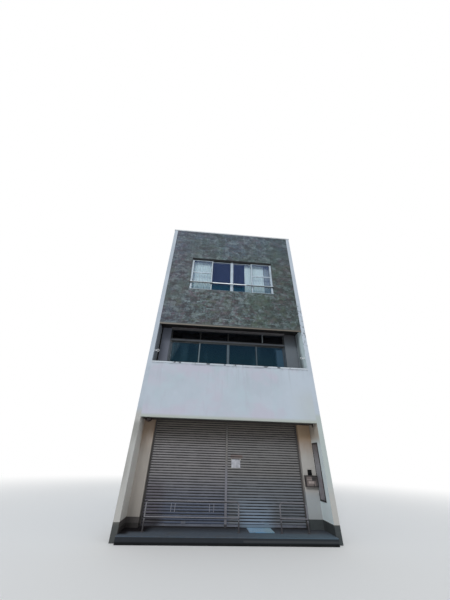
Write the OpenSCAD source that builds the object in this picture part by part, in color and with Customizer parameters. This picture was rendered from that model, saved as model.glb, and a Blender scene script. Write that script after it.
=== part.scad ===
// Narrow three-storey shop house: two white side walls carry three recessed floors.
// Millimetres, +Z up, the front faces -Y, the ground is at Z = 0.

/* [Plan] */
// Outer width across the two side walls
building_w = 5200; // [4330:10:6240]
// Depth from the facade plane to the outer face of the rear wall
building_d = 8000; // [6600:10:9700]
// Thickness of the side walls, whose front edges show as fins
side_wall_t = 140; // [110:5:200]
// Thickness of the rear wall
rear_wall_t = 150; // [120:5:220]
// How far the copings stand out past the walls
coping_overhang = 12; // [5:1:40]

/* [Levels] */
// Top of the porch and of the ground floor above the ground
ground_floor_level = 140; // [80:5:250]
// Height of the dark plinth band above the ground
plinth_h = 338; // [250:2:450]
// Ground floor level to second floor level
ground_storey_h = 2760; // [2300:10:3400]
// Second floor level to third floor level
second_storey_h = 3000; // [2780:10:3600]
// Third floor level to roof level
third_storey_h = 3100; // [2800:10:3800]
// Roof level to the top of the coping
roof_parapet_h = 1090; // [700:10:1400]
// Thickness of each floor and of the roof
slab_t = 150; // [110:5:220]
// Height of the copings of the roof
coping_h = 50; // [30:2:90]

/* [Entrance] */
// How far the porch reaches in front of the side walls
porch_projection = 120; // [60:10:400]
// Facade plane to the front faces of the jamb walls
jamb_setback = 610; // [540:5:800]
// Thickness of the jamb walls
jamb_t = 200; // [160:5:280]
// Width of the left jamb wall
left_jamb_w = 310; // [220:5:420]
// Width of the right jamb wall
right_jamb_w = 370; // [300:5:440]
// How far the front beam hangs below the second floor level
entrance_beam_drop = 430; // [330:5:520]
// Facade plane to the front of the shutters
shutter_setback = 745; // [735:5:790]
// Thickness of the shutter slats
shutter_t = 12; // [8:1:20]
// Width of the post between the two shutters
shutter_post_w = 60; // [40:2:90]
// Depth of the post and of the side guides
shutter_guide_d = 55; // [40:1:70]
// Width of a side guide
shutter_guide_w = 42; // [30:1:60]
// How far a shutter's edge runs into its guide
shutter_grip = 25; // [15:1:30]
// Height of a shutter's bottom bar
bottom_bar_h = 85; // [60:5:130]
// Thickness of a shutter's bottom bar
bottom_bar_t = 30; // [24:1:36]
// Gap between the slats and the beam in front of them
shutter_gap = 5; // [3:1:12]
// Gap between the bottom bar and a guide
bottom_bar_gap = 2; // [1:1:6]

/* [Balcony] */
// Balcony parapet above the second floor level, coping included
parapet_h = 1130; // [950:10:1250]
// Thickness of the balcony parapet
parapet_t = 120; // [90:5:160]
// Height of the parapet's coping
parapet_coping_h = 40; // [25:1:60]
// Facade plane to the face of the second floor piers
pier_setback = 550; // [500:5:700]
// Thickness of the piers
pier_t = 150; // [140:5:200]
// Side wall to the inner edge of the left pier
left_pier_w = 353; // [260:1:460]
// Side wall to the inner edge of the right pier
right_pier_w = 460; // [360:1:560]
// Width of the dark joint between a pier and its side wall
joint_w = 50; // [30:1:80]
// Depth of that joint
joint_recess = 45; // [20:1:70]
// How far the ceiling over the balcony lies below the third floor level
balcony_ceiling_drop = 450; // [300:5:520]
// Thickness of the ceiling boards over the porch and over the balcony
ceiling_board_t = 15; // [9:1:25]

/* [Second floor glazing] */
// Frame depth, front to back
balcony_frame_d = 100; // [90:1:120]
// Pier face to the front of the frame
balcony_frame_recess = 30; // [15:1:45]
// Visible width of the frame's outer members
balcony_frame_w = 45; // [35:1:60]
// Height of the threshold
threshold_h = 60; // [40:1:90]
// Second floor level to the underside of the transom
transom_level = 2080; // [1900:5:2200]
// Height of the transom
transom_h = 100; // [60:5:130]
// Number of pairs of sliding sashes side by side
balcony_pairs = 2; // [1:1:3]
// Gap between two pairs, where their sashes meet
meeting_gap = 2; // [1:1:6]
// Width of the uprights between the upper lights
upper_upright_w = 30; // [20:1:45]
// How far the last upper upright stands to the right of the stiles below it
upper_upright_shift = 240; // [0:10:300]

/* [Third floor facade] */
// How far the tile face stays behind the front edges of the side walls
facing_setback = 5; // [2:1:20]
// Thickness of the tile facing with its mortar
facing_t = 25; // [15:1:40]
// Thickness of the front wall behind the facing
front_wall_t = 150; // [120:5:200]
// How far the facade hangs below the ceiling over the balcony
facade_drop = 50; // [20:5:90]
// Height of the metal drip trim on the facade's lower edge
drip_trim_h = 70; // [40:2:90]
// Sheet thickness of the drip trim
drip_trim_t = 6; // [4:1:10]
// How far the drip trim stands in front of the tile face
drip_trim_projection = 5; // [2:1:5]

/* [Third floor window] */
// Width of the opening
window_w = 3280; // [2400:10:3500]
// Height of the opening
window_h = 1590; // [1300:10:1700]
// Third floor level to the bottom of the opening
window_sill = 980; // [850:10:1050]
// Facade plane to the front of the window frame
window_recess = 75; // [60:1:90]
// Depth of the window frame
window_frame_d = 90; // [80:1:100]
// Visible width of the outer frame
window_frame_w = 40; // [30:1:55]
// Width of the post in the middle of the window
window_post_w = 36; // [30:1:100]
// Third floor level to the underside of the guard bar
guard_bar_level = 1335; // [1250:5:1450]
// Height of the guard bar
guard_bar_h = 38; // [25:1:60]
// Depth of the guard bar
guard_bar_d = 36; // [12:1:45]
// How far the sill stands in front of the window frame
sill_projection = 68; // [55:1:70]
// Thickness of the sill
sill_t = 14; // [8:1:20]
// Height of the two guard bar brackets
bracket_h = 90; // [60:5:140]
// Width of the two guard bar brackets
bracket_w = 24; // [15:1:40]
// Guard bar to the face of the window frame
guard_bar_gap = 12; // [8:1:14]
// How far the brackets stand in front of the guard bar
bracket_front = 6; // [2:1:10]

/* [Sashes and glass] */
// Visible width of a sash stile or rail
sash_w = 38; // [28:1:50]
// Depth of a sash
sash_d = 26; // [22:1:30]
// Gap between the front sashes and the rear sashes
track_gap = 6; // [3:1:8]
// Frame face to the face of the front sashes
track_inset = 8; // [4:1:12]
// Bottom of a sash to the underside of its middle rail
mid_rail_level = 830; // [650:5:950]
// Thickness of the glass
glass_t = 5; // [4:1:8]

/* [Rear windows] */
// Width of a rear window
rear_window_w = 1700; // [1300:10:2200]
// Height of a rear window
rear_window_h = 1100; // [900:10:1300]
// Floor level to the bottom of a rear window
rear_window_sill = 950; // [850:10:1100]
// Outer face of the rear wall to the face of a rear window frame
rear_window_recess = 35; // [20:1:45]

/* [Guard rails] */
// Diameter of the pipe
pipe_d = 34; // [20:1:40]
// Facade plane to the axis of the pipes
rail_setback = 250; // [150:5:400]
// Porch level to the axis of the top pipe
rail_top = 545; // [450:5:700]
// Porch level to the axis of the lower pipe
rail_mid = 252; // [180:2:320]
// Radius of the bends at the top corners
rail_bend_r = 70; // [45:5:110]
// Inner face of the left side wall to the first post of the left rail
left_rail_offset = 485; // [400:5:600]
// Length of the left rail between the axes of its posts
left_rail_l = 2220; // [1400:10:2300]
// Inner face of the right side wall to the last post of the right rail
right_rail_offset = 530; // [450:5:650]
// Length of the right rail between the axes of its posts
right_rail_l = 660; // [400:10:760]

/* [Fittings] */
// Width of the letterbox
letterbox_w = 340; // [250:5:350]
// Height of the letterbox
letterbox_h = 250; // [200:5:360]
// Depth of the letterbox
letterbox_d = 110; // [70:5:150]
// Gap between the letterbox and the right side wall
letterbox_gap = 12; // [10:1:30]
// Porch level to the underside of the letterbox
letterbox_level = 855; // [700:5:1000]
// Width of the door phone
phone_w = 115; // [80:5:150]
// Height of the door phone
phone_h = 125; // [90:5:200]
// Depth of the door phone
phone_d = 30; // [20:1:45]
// Width of the sign plate on the right side wall
sign_w = 380; // [250:5:400]
// Height of the sign plate
sign_h = 1300; // [900:10:1500]
// Thickness of the sign plate
sign_t = 8; // [5:1:9]
// Porch level to the underside of the sign plate
sign_level = 570; // [450:5:700]
// Gap between the sign plate and the jamb wall behind it
sign_gap = 25; // [15:1:60]
// Balcony coping to the axis of the laundry pole brackets
pole_bracket_level = 375; // [250:5:500]
// Facade plane to the axis of the laundry pole brackets
pole_bracket_setback = 90; // [60:5:400]
// How far a laundry pole bracket stands out from its wall
pole_bracket_reach = 70; // [50:5:120]
// Diameter of a laundry pole bracket
pole_bracket_d = 24; // [16:1:35]
// Width of the plate behind a laundry pole bracket
pole_plate_w = 40; // [36:1:60]
// Height of that plate
pole_plate_h = 90; // [60:5:140]
// Thickness of that plate
pole_plate_t = 6; // [3:1:10]
// Length of the door mat
mat_w = 600; // [450:10:900]
// Width of the door mat
mat_d = 450; // [380:10:450]
// Thickness of the door mat
mat_t = 10; // [6:1:15]
// How far the mat lies to the right of the middle of the gap between the rails
mat_shift = 45; // [-100:5:100]

/* [Curtains] */
// Thickness of the space that a gathered curtain fills
curtain_t = 60; // [40:5:90]
// Width of the left curtain on the third floor
left_curtain_w = 790; // [400:10:820]
// Width of the right curtain on the third floor
right_curtain_w = 810; // [500:10:850]
// Width of the curtain on the second floor
balcony_curtain_w = 380; // [250:10:600]
// Height and depth of the curtain rails
curtain_rail_s = 30; // [20:1:40]
// Floor level to the hem of the curtain on the second floor
balcony_curtain_hem = 90; // [70:5:150]
// Inner edge of the window frame to the left curtain on the third floor
left_curtain_offset = 5; // [2:1:120]
// Middle of the right pair of sashes to the right curtain on the third floor
right_curtain_offset = 135; // [0:5:160]
// Gap between the right curtain on the third floor and the narrow one that fills the rest of the opening
narrow_curtain_gap = 10; // [2:1:40]
// Bottom of the opening to the hem of a curtain on the third floor
front_curtain_hem = 10; // [5:1:40]
// Top of the opening to the curtain rail on the third floor
front_rail_rise = 10; // [5:1:40]
// Underside of the transom to the curtain rail on the second floor
balcony_rail_rise = 20; // [10:1:50]
// Edge of the curtain on the second floor to the window frame
balcony_curtain_gap = 5; // [3:1:20]

/* [Hidden] */

round_fn = 48;
outer_x = building_w / 2;
inner_x = outer_x - side_wall_t;
rear_inner_y = building_d - rear_wall_t;
front_y = (porch_projection - building_d - coping_overhang) / 2;

second_floor_level = ground_floor_level + ground_storey_h;
third_floor_level = second_floor_level + second_storey_h;
roof_level = third_floor_level + third_storey_h;
building_h = roof_level + roof_parapet_h;
wall_top = building_h - coping_h;

entrance_head = second_floor_level - entrance_beam_drop;
jamb_back = jamb_setback + jamb_t;
left_opening_x = -inner_x + left_jamb_w;
right_opening_x = inner_x - right_jamb_w;
shutter_back = shutter_setback + shutter_t;
guide_y = shutter_setback + shutter_t / 2 - shutter_guide_d / 2;
shutter_post_x = (left_opening_x + right_opening_x) / 2;
shutter_fit = 0.3;

parapet_top = second_floor_level + parapet_h;
balcony_ceiling_level = third_floor_level - balcony_ceiling_drop;
pier_back = pier_setback + pier_t;
facade_bottom = balcony_ceiling_level - facade_drop;
front_wall_y = facing_setback + facing_t;
front_wall_back = front_wall_y + front_wall_t;

glazing_x0 = -inner_x + left_pier_w;
glazing_x1 = inner_x - right_pier_w;
glazing_y = pier_setback + balcony_frame_recess;
transom_z = second_floor_level + transom_level;

window_z = third_floor_level + window_sill;
curtain_rail_z = window_z + window_h + front_rail_rise;
half_post = window_post_w / 2;

rail_x0 = -inner_x + left_rail_offset;
rail_x1 = rail_x0 + left_rail_l;
short_rail_x1 = inner_x - right_rail_offset;
short_rail_x0 = short_rail_x1 - right_rail_l;

module in_place() {
    translate([0, front_y, 0]) children();
}

module block(low, high) {
    translate(low) cube(high - low);
}

// Floors and the porch
module ground_floor_slab() {
    color("gray")
        in_place()
            block([-inner_x, jamb_back, 0], [inner_x, rear_inner_y, ground_floor_level]);
}

module porch_slab() {
    color("dimgray")
        in_place()
            block([-inner_x, -porch_projection, 0], [inner_x, jamb_back, ground_floor_level]);
}

module second_floor_slab() {
    color("silver")
        in_place()
            block([-inner_x, parapet_t, second_floor_level - slab_t],
                  [inner_x, rear_inner_y, second_floor_level]);
}

module third_floor_slab() {
    color("silver")
        in_place()
            block([-inner_x, front_wall_back, third_floor_level - slab_t],
                  [inner_x, rear_inner_y, third_floor_level]);
}

module roof_slab() {
    color("gray")
        in_place()
            block([-inner_x, front_wall_back, roof_level - slab_t], [inner_x, rear_inner_y, roof_level]);
}

// Plinth band, drawn for the left side and mirrored for the right
module plinth_shape(jamb_w) {
    block([-outer_x, 0, 0], [-inner_x, building_d, plinth_h]);
    block([-inner_x - 1, jamb_setback, ground_floor_level], [-inner_x + jamb_w, jamb_back, plinth_h]);
}

module left_plinth() {
    color("darkslategray")
        in_place()
            plinth_shape(left_jamb_w);
}

module right_plinth() {
    color("darkslategray")
        in_place()
            mirror([1, 0, 0])
                plinth_shape(right_jamb_w);
}

module rear_plinth() {
    color("darkslategray")
        in_place()
            block([-inner_x, rear_inner_y, 0], [inner_x, building_d, plinth_h]);
}

// Side walls, jamb walls and piers
module side_wall_shape() {
    block([-outer_x, 0, plinth_h], [-inner_x, building_d, wall_top]);
}

module left_side_wall() {
    color("white")
        in_place()
            side_wall_shape();
}

module right_side_wall() {
    color("white")
        in_place()
            mirror([1, 0, 0])
                side_wall_shape();
}

module jamb_shape(jamb_w) {
    block([-inner_x, jamb_setback, plinth_h], [-inner_x + jamb_w, jamb_back, entrance_head]);
}

module left_jamb_wall() {
    color("antiquewhite")
        in_place()
            jamb_shape(left_jamb_w);
}

module right_jamb_wall() {
    color("antiquewhite")
        in_place()
            mirror([1, 0, 0])
                jamb_shape(right_jamb_w);
}

// A pier with a rebate along its side wall, drawn for the left side and mirrored for the right
module pier_shape(pier_w) {
    difference() {
        block([-inner_x, pier_setback, second_floor_level],
              [-inner_x + pier_w, pier_back, balcony_ceiling_level]);
        block([-inner_x - 1, pier_setback - 1, second_floor_level - 1],
              [-inner_x + joint_w, pier_setback + joint_recess, balcony_ceiling_level + 1]);
    }
}

module left_pier() {
    color("thistle")
        in_place()
            pier_shape(left_pier_w);
}

module right_pier() {
    color("thistle")
        in_place()
            mirror([1, 0, 0])
                pier_shape(right_pier_w);
}

// Rear wall with one window on each storey
function rear_window_z(level) = level + rear_window_sill;

rear_levels = [ground_floor_level, second_floor_level, third_floor_level];

module rear_wall() {
    color("white")
        in_place()
            difference() {
                block([-inner_x, rear_inner_y, plinth_h], [inner_x, building_d, wall_top]);
                for (level = rear_levels)
                    block([-rear_window_w / 2, rear_inner_y - 1, rear_window_z(level)],
                          [rear_window_w / 2, building_d + 1, rear_window_z(level) + rear_window_h]);
            }
}

// Beams, ceilings and the balcony
module entrance_beam() {
    color("white")
        in_place()
            block([-inner_x, pier_setback, entrance_head],
                  [inner_x, shutter_setback - shutter_gap, second_floor_level - slab_t]);
}

// One board over the porch and one over the balcony
module ceiling_boards() {
    color("dimgray")
        in_place() {
            block([-inner_x, parapet_t, entrance_head],
                  [inner_x, pier_setback, entrance_head + ceiling_board_t]);
            block([-inner_x, front_wall_back, balcony_ceiling_level],
                  [inner_x, pier_setback, balcony_ceiling_level + ceiling_board_t]);
        }
}

module balcony_parapet() {
    color("white")
        in_place()
            block([-inner_x, 0, entrance_head], [inner_x, parapet_t, parapet_top - parapet_coping_h]);
}

module balcony_coping() {
    color("whitesmoke")
        in_place()
            block([-inner_x, -coping_overhang, parapet_top - parapet_coping_h],
                  [inner_x, parapet_t + coping_overhang, parapet_top]);
}

module third_floor_beam() {
    color("silver")
        in_place()
            block([-inner_x, pier_setback, balcony_ceiling_level],
                  [inner_x, pier_back, third_floor_level - slab_t]);
}

// Third floor facade
module window_hole(y0, y1) {
    block([-window_w / 2, y0, window_z], [window_w / 2, y1, window_z + window_h]);
}

module third_floor_front_wall() {
    color("lightgray")
        in_place()
            difference() {
                block([-inner_x, front_wall_y, facade_bottom], [inner_x, front_wall_back, wall_top]);
                window_hole(front_wall_y - 1, front_wall_back + 1);
            }
}

module tile_facing() {
    color("darkolivegreen")
        in_place()
            difference() {
                block([-inner_x, facing_setback, facade_bottom], [inner_x, front_wall_y, wall_top]);
                window_hole(facing_setback - 1, front_wall_y + 1);
            }
}

module drip_trim() {
    trim_y = facing_setback - drip_trim_projection;
    color("saddlebrown")
        in_place() {
            block([-inner_x, trim_y, facade_bottom - drip_trim_h],
                  [inner_x, trim_y + drip_trim_t, facade_bottom]);
            block([-inner_x, trim_y, facade_bottom - drip_trim_t],
                  [inner_x, front_wall_back, facade_bottom]);
        }
}

// Copings of the roof: one along each side wall, one across the front and one across the rear
module side_copings() {
    color("gainsboro")
        in_place()
            for (side = [0, 1])
                mirror([side, 0, 0])
                    block([-outer_x - coping_overhang, -coping_overhang, wall_top],
                          [-inner_x + coping_overhang, building_d + coping_overhang, building_h]);
}

module end_copings() {
    coping_x = inner_x - coping_overhang;
    color("gainsboro")
        in_place()
            for (wall = [[0, front_wall_back], [rear_inner_y, building_d]])
                block([-coping_x, wall[0] - coping_overhang, wall_top],
                      [coping_x, wall[1] + coping_overhang, building_h]);
}

// A sash: a ring of stiles and rails standing on the XZ plane
module sash(x0, x1, z0, z1, y, mid_rail) {
    difference() {
        block([x0, y, z0], [x1, y + sash_d, z1]);
        block([x0 + sash_w, y - 1, z0 + sash_w], [x1 - sash_w, y + sash_d + 1, z1 - sash_w]);
    }
    if (mid_rail)
        block([x0 + sash_w - 1, y, z0 + mid_rail_level],
              [x1 - sash_w + 1, y + sash_d, z0 + mid_rail_level + sash_w]);
}

module pane(x0, x1, z0, z1, y) {
    block([x0 + sash_w, y + sash_d / 2 - glass_t / 2, z0 + sash_w],
          [x1 - sash_w, y + sash_d / 2 + glass_t / 2, z1 - sash_w]);
}

// Where the front sashes and the rear sashes of a window run
function front_track(frame_y) = frame_y + track_inset;
function rear_track(frame_y) = front_track(frame_y) + sash_d + track_gap;

// Second floor glazing: each sash is [x0, x1, y]
balcony_z0 = second_floor_level + threshold_h;
balcony_inner_x0 = glazing_x0 + balcony_frame_w;
balcony_inner_x1 = glazing_x1 - balcony_frame_w;
balcony_pair_w = (balcony_inner_x1 - balcony_inner_x0) / balcony_pairs;
balcony_sashes = [for (pair = [0 : balcony_pairs - 1])
    let (pair_x = balcony_inner_x0 + pair * balcony_pair_w,
         x0 = pair_x + (pair > 0 ? meeting_gap / 2 : 0),
         x1 = pair_x + balcony_pair_w - (pair < balcony_pairs - 1 ? meeting_gap / 2 : 0),
         middle = (x0 + x1) / 2)
    for (i = [0, 1])
        [i == 0 ? x0 : middle - sash_w / 2, i == 0 ? middle + sash_w / 2 : x1,
         (i + pair) % 2 == 0 ? rear_track(glazing_y) : front_track(glazing_y)]];
upper_z0 = transom_z + transom_h;
upper_z1 = balcony_ceiling_level - balcony_frame_w;
upper_count = 2 * balcony_pairs;
upper_uprights = [for (i = [1 : upper_count - 1])
    balcony_inner_x0 + i * balcony_pair_w / 2 + (i == upper_count - 1 ? upper_upright_shift : 0)];

module balcony_window_frame() {
    color("darkgray")
        in_place() {
            difference() {
                block([glazing_x0, glazing_y, second_floor_level],
                      [glazing_x1, glazing_y + balcony_frame_d, balcony_ceiling_level]);
                block([balcony_inner_x0, glazing_y - 1, balcony_z0],
                      [balcony_inner_x1, glazing_y + balcony_frame_d + 1, transom_z]);
                block([balcony_inner_x0, glazing_y - 1, upper_z0],
                      [balcony_inner_x1, glazing_y + balcony_frame_d + 1, upper_z1]);
            }
            for (x = upper_uprights)
                block([x - upper_upright_w / 2, glazing_y + track_inset, upper_z0 - 1],
                      [x + upper_upright_w / 2, glazing_y + balcony_frame_d, upper_z1 + 1]);
        }
}

module balcony_window_sashes() {
    color("lightgray")
        in_place()
            for (s = balcony_sashes)
                sash(s[0], s[1], balcony_z0, transom_z, s[2], false);
}

module balcony_window_glass() {
    color("slategray")
        in_place() {
            for (s = balcony_sashes)
                pane(s[0], s[1], balcony_z0, transom_z, s[2]);
            for (i = [0 : upper_count - 1])
                let (x0 = i > 0 ? upper_uprights[i - 1] + upper_upright_w / 2 : balcony_inner_x0,
                     last = i == upper_count - 1,
                     x1 = last ? balcony_inner_x1 : upper_uprights[i] - upper_upright_w / 2)
                    block([x0, glazing_y + balcony_frame_d / 2, upper_z0],
                          [x1, glazing_y + balcony_frame_d / 2 + glass_t, upper_z1]);
        }
}

// Third floor window: two pairs of sashes on either side of a post
front_z0 = window_z + window_frame_w;
front_z1 = window_z + window_h - window_frame_w;
front_side_x = window_w / 2 - window_frame_w;
front_pitch = (front_side_x - half_post - sash_w) / 2;
front_sashes = [for (side = [-1, 1])
    for (i = [0, 1])
        let (x0 = (side < 0 ? -front_side_x : half_post) + i * front_pitch, outer = (side < 0) == (i == 0),
             track = outer ? front_track(window_recess) : rear_track(window_recess))
        [x0, x0 + front_pitch + sash_w, track, outer]];

module front_window_frame() {
    color("gainsboro")
        in_place() {
            difference() {
                window_hole(window_recess, window_recess + window_frame_d);
                for (x0 = [-front_side_x, half_post])
                    block([x0, window_recess - 1, front_z0],
                          [x0 + front_side_x - half_post, window_recess + window_frame_d + 1, front_z1]);
            }
            block([-window_w / 2, window_recess - sill_projection, window_z],
                  [window_w / 2, window_recess + 1, window_z + sill_t]);
        }
}

module front_window_sashes() {
    color("gainsboro")
        in_place()
            for (s = front_sashes)
                sash(s[0], s[1], front_z0, front_z1, s[2], s[3]);
}

// A pane behind a middle rail is two sheets, above and below it
module front_window_glass() {
    color("midnightblue")
        in_place()
            for (s = front_sashes)
                difference() {
                    pane(s[0], s[1], front_z0, front_z1, s[2]);
                    if (s[3])
                        block([s[0], s[2] - 1, front_z0 + mid_rail_level],
                              [s[1], s[2] + sash_d + 1, front_z0 + mid_rail_level + sash_w]);
                }
}

// The bar lies against two brackets that stand on the reveals
module window_guard_bar() {
    bar_z = third_floor_level + guard_bar_level;
    bar_y = window_recess - guard_bar_d - guard_bar_gap;
    bar_mid_z = bar_z + guard_bar_h / 2;
    color("silver")
        in_place() {
            block([-window_w / 2, bar_y, bar_z], [window_w / 2, bar_y + guard_bar_d, bar_z + guard_bar_h]);
            for (x = [-window_w / 2, window_w / 2 - bracket_w])
                block([x, bar_y - bracket_front, bar_mid_z - bracket_h / 2],
                      [x + bracket_w, window_recess, bar_mid_z + bracket_h / 2]);
        }
}

// Rear windows: two sashes in one frame on each storey
rear_frame_y = building_d - rear_window_recess - window_frame_d;
rear_side_x = rear_window_w / 2 - window_frame_w;
rear_pitch = (2 * rear_side_x - sash_w) / 2;

module at_rear_sashes() {
    for (level = rear_levels)
        for (i = [0, 1]) {
            $x0 = -rear_side_x + i * rear_pitch;
            $x1 = $x0 + rear_pitch + sash_w;
            $y = i == 0 ? front_track(rear_frame_y) : rear_track(rear_frame_y);
            $z0 = rear_window_z(level) + window_frame_w;
            $z1 = rear_window_z(level) + rear_window_h - window_frame_w;
            children();
        }
}

module rear_windows() {
    color("gainsboro")
        in_place() {
            for (level = rear_levels)
                let (z0 = rear_window_z(level), z1 = z0 + rear_window_h)
                    difference() {
                        block([-rear_window_w / 2, rear_frame_y, z0],
                              [rear_window_w / 2, rear_frame_y + window_frame_d, z1]);
                        block([-rear_side_x, rear_frame_y - 1, z0 + window_frame_w],
                              [rear_side_x, rear_frame_y + window_frame_d + 1, z1 - window_frame_w]);
                    }
            at_rear_sashes()
                sash($x0, $x1, $z0, $z1, $y, false);
        }
}

module rear_window_glass() {
    color("slategray")
        in_place()
            at_rear_sashes()
                pane($x0, $x1, $z0, $z1, $y);
}

// Roller shutters: slats above a thicker bottom bar that stands on the porch
module shutter_shape(x0, x1) {
    block([x0, shutter_setback, ground_floor_level + bottom_bar_h - 1],
          [x1, shutter_back, second_floor_level - slab_t - shutter_gap]);
    bar_end = shutter_grip + bottom_bar_gap;
    bar_y = shutter_setback + shutter_t / 2 - bottom_bar_t / 2;
    block([x0 + bar_end, bar_y, ground_floor_level],
          [x1 - bar_end, bar_y + bottom_bar_t, ground_floor_level + bottom_bar_h]);
}

shutter_x = [left_opening_x + shutter_guide_w - shutter_grip,
             shutter_post_x - shutter_post_w / 2 + shutter_grip,
             shutter_post_x + shutter_post_w / 2 - shutter_grip,
             right_opening_x - shutter_guide_w + shutter_grip];

module left_shutter() {
    color("gray")
        in_place()
            shutter_shape(shutter_x[0], shutter_x[1]);
}

module right_shutter() {
    color("gray")
        in_place()
            shutter_shape(shutter_x[2], shutter_x[3]);
}

module guide_channel(x0, x1, slots) {
    difference() {
        block([x0, guide_y, ground_floor_level], [x1, guide_y + shutter_guide_d, entrance_head]);
        for (s = slots)
            block([s[0], shutter_setback - shutter_fit, ground_floor_level - 1],
                  [s[1], shutter_back + shutter_fit, entrance_head + 1]);
    }
}

module shutter_guides() {
    post_x0 = shutter_post_x - shutter_post_w / 2;
    post_x1 = shutter_post_x + shutter_post_w / 2;
    color("lightgray")
        in_place() {
            guide_channel(left_opening_x, left_opening_x + shutter_guide_w,
                          [[shutter_x[0] - shutter_fit, left_opening_x + shutter_guide_w + 1]]);
            guide_channel(right_opening_x - shutter_guide_w, right_opening_x,
                          [[right_opening_x - shutter_guide_w - 1, shutter_x[3] + shutter_fit]]);
            guide_channel(post_x0, post_x1,
                          [[post_x0 - 1, shutter_x[1] + shutter_fit], [shutter_x[2] - shutter_fit, post_x1 + 1]]);
        }
}

// Guard rails: a pipe frame with bent top corners and a lower pipe
module pipe_run(from, length, direction) {
    translate(from)
        rotate(direction)
            cylinder(h = length, d = pipe_d, $fn = round_fn);
}

module pipe_bend(x, z, turn) {
    translate([x, rail_setback, z])
        rotate([90, turn, 0])
            rotate_extrude(angle = 90, $fn = round_fn)
                translate([rail_bend_r, 0])
                    circle(d = pipe_d, $fn = round_fn);
}

module guard_rail(x0, x1) {
    top_z = ground_floor_level + rail_top;
    mid_z = ground_floor_level + rail_mid;
    for (x = [x0, x1])
        pipe_run([x, rail_setback, ground_floor_level], rail_top - rail_bend_r, [0, 0, 0]);
    pipe_run([x0 + rail_bend_r, rail_setback, top_z], x1 - x0 - 2 * rail_bend_r, [0, 90, 0]);
    pipe_run([x0, rail_setback, mid_z], x1 - x0, [0, 90, 0]);
    pipe_bend(x1 - rail_bend_r, top_z - rail_bend_r, 0);
    pipe_bend(x0 + rail_bend_r, top_z - rail_bend_r, -90);
}

module left_guard_rail() {
    color("slategray")
        in_place()
            guard_rail(rail_x0, rail_x1);
}

module right_guard_rail() {
    color("slategray")
        in_place()
            guard_rail(short_rail_x0, short_rail_x1);
}

// Fittings on the right jamb wall and on the side walls
letterbox_x1 = inner_x - letterbox_gap;
phone_x = letterbox_x1 - letterbox_w / 2;

module letterbox() {
    z0 = ground_floor_level + letterbox_level;
    color("rosybrown")
        in_place()
            block([letterbox_x1 - letterbox_w, jamb_setback - letterbox_d, z0],
                  [letterbox_x1, jamb_setback, z0 + letterbox_h]);
}

module door_phone() {
    z0 = ground_floor_level + letterbox_level + letterbox_h;
    color("black")
        in_place()
            block([phone_x - phone_w / 2, jamb_setback - phone_d, z0],
                  [phone_x + phone_w / 2, jamb_setback, z0 + phone_h]);
}

module sign_plate() {
    z0 = ground_floor_level + sign_level;
    y1 = jamb_setback - sign_gap;
    color("lavenderblush")
        in_place()
            block([inner_x - sign_t, y1 - sign_w, z0], [inner_x, y1, z0 + sign_h]);
}

module laundry_pole_brackets() {
    z = parapet_top + pole_bracket_level;
    color("whitesmoke")
        in_place()
            for (side = [-1, 1])
                mirror([side > 0 ? 1 : 0, 0, 0]) {
                    translate([-inner_x, pole_bracket_setback, z])
                        rotate([0, 90, 0])
                            cylinder(h = pole_bracket_reach, d = pole_bracket_d, $fn = round_fn);
                    block([-inner_x, pole_bracket_setback - pole_plate_w / 2, z - pole_plate_h / 2],
                          [-inner_x + pole_plate_t, pole_bracket_setback + pole_plate_w / 2,
                           z + pole_plate_h / 2]);
                }
}

module door_mat() {
    mid_x = (rail_x1 + short_rail_x0) / 2 + mat_shift;
    y1 = shutter_setback - bottom_bar_t;
    color("lightskyblue")
        in_place()
            block([mid_x - mat_w / 2, y1 - mat_d, ground_floor_level],
                  [mid_x + mat_w / 2, y1, ground_floor_level + mat_t]);
}

// Curtains, each a plain block of the space that its folds fill, and their rails
balcony_rail_y = glazing_y + balcony_frame_d;
balcony_rail_z = transom_z + balcony_rail_rise;
curtain_rail_d = curtain_rail_s + curtain_t;
balcony_curtain_x1 = balcony_inner_x1 - balcony_curtain_gap;

module curtain_rails() {
    color("white")
        in_place() {
            block([-window_w / 2, front_wall_back, curtain_rail_z],
                  [window_w / 2, front_wall_back + curtain_rail_d, curtain_rail_z + curtain_rail_s]);
            block([balcony_inner_x0, balcony_rail_y, balcony_rail_z],
                  [balcony_inner_x1, balcony_rail_y + curtain_rail_d, balcony_rail_z + curtain_rail_s]);
        }
}

module front_curtain(x0, x1) {
    y0 = front_wall_back + curtain_rail_s;
    block([x0, y0, window_z + front_curtain_hem], [x1, y0 + curtain_t, curtain_rail_z]);
}

module curtains() {
    left_x0 = -front_side_x + left_curtain_offset;
    right_x0 = half_post + front_pitch / 2 + right_curtain_offset;
    right_x1 = right_x0 + right_curtain_w;
    balcony_y0 = balcony_rail_y + curtain_rail_s;
    color("darkseagreen")
        in_place() {
            front_curtain(left_x0, left_x0 + left_curtain_w);
            front_curtain(right_x0, right_x1);
            front_curtain(right_x1 + narrow_curtain_gap, front_side_x - left_curtain_offset);
            block([balcony_curtain_x1 - balcony_curtain_w, balcony_y0,
                   second_floor_level + balcony_curtain_hem],
                  [balcony_curtain_x1, balcony_y0 + curtain_t, balcony_rail_z]);
        }
}

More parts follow.
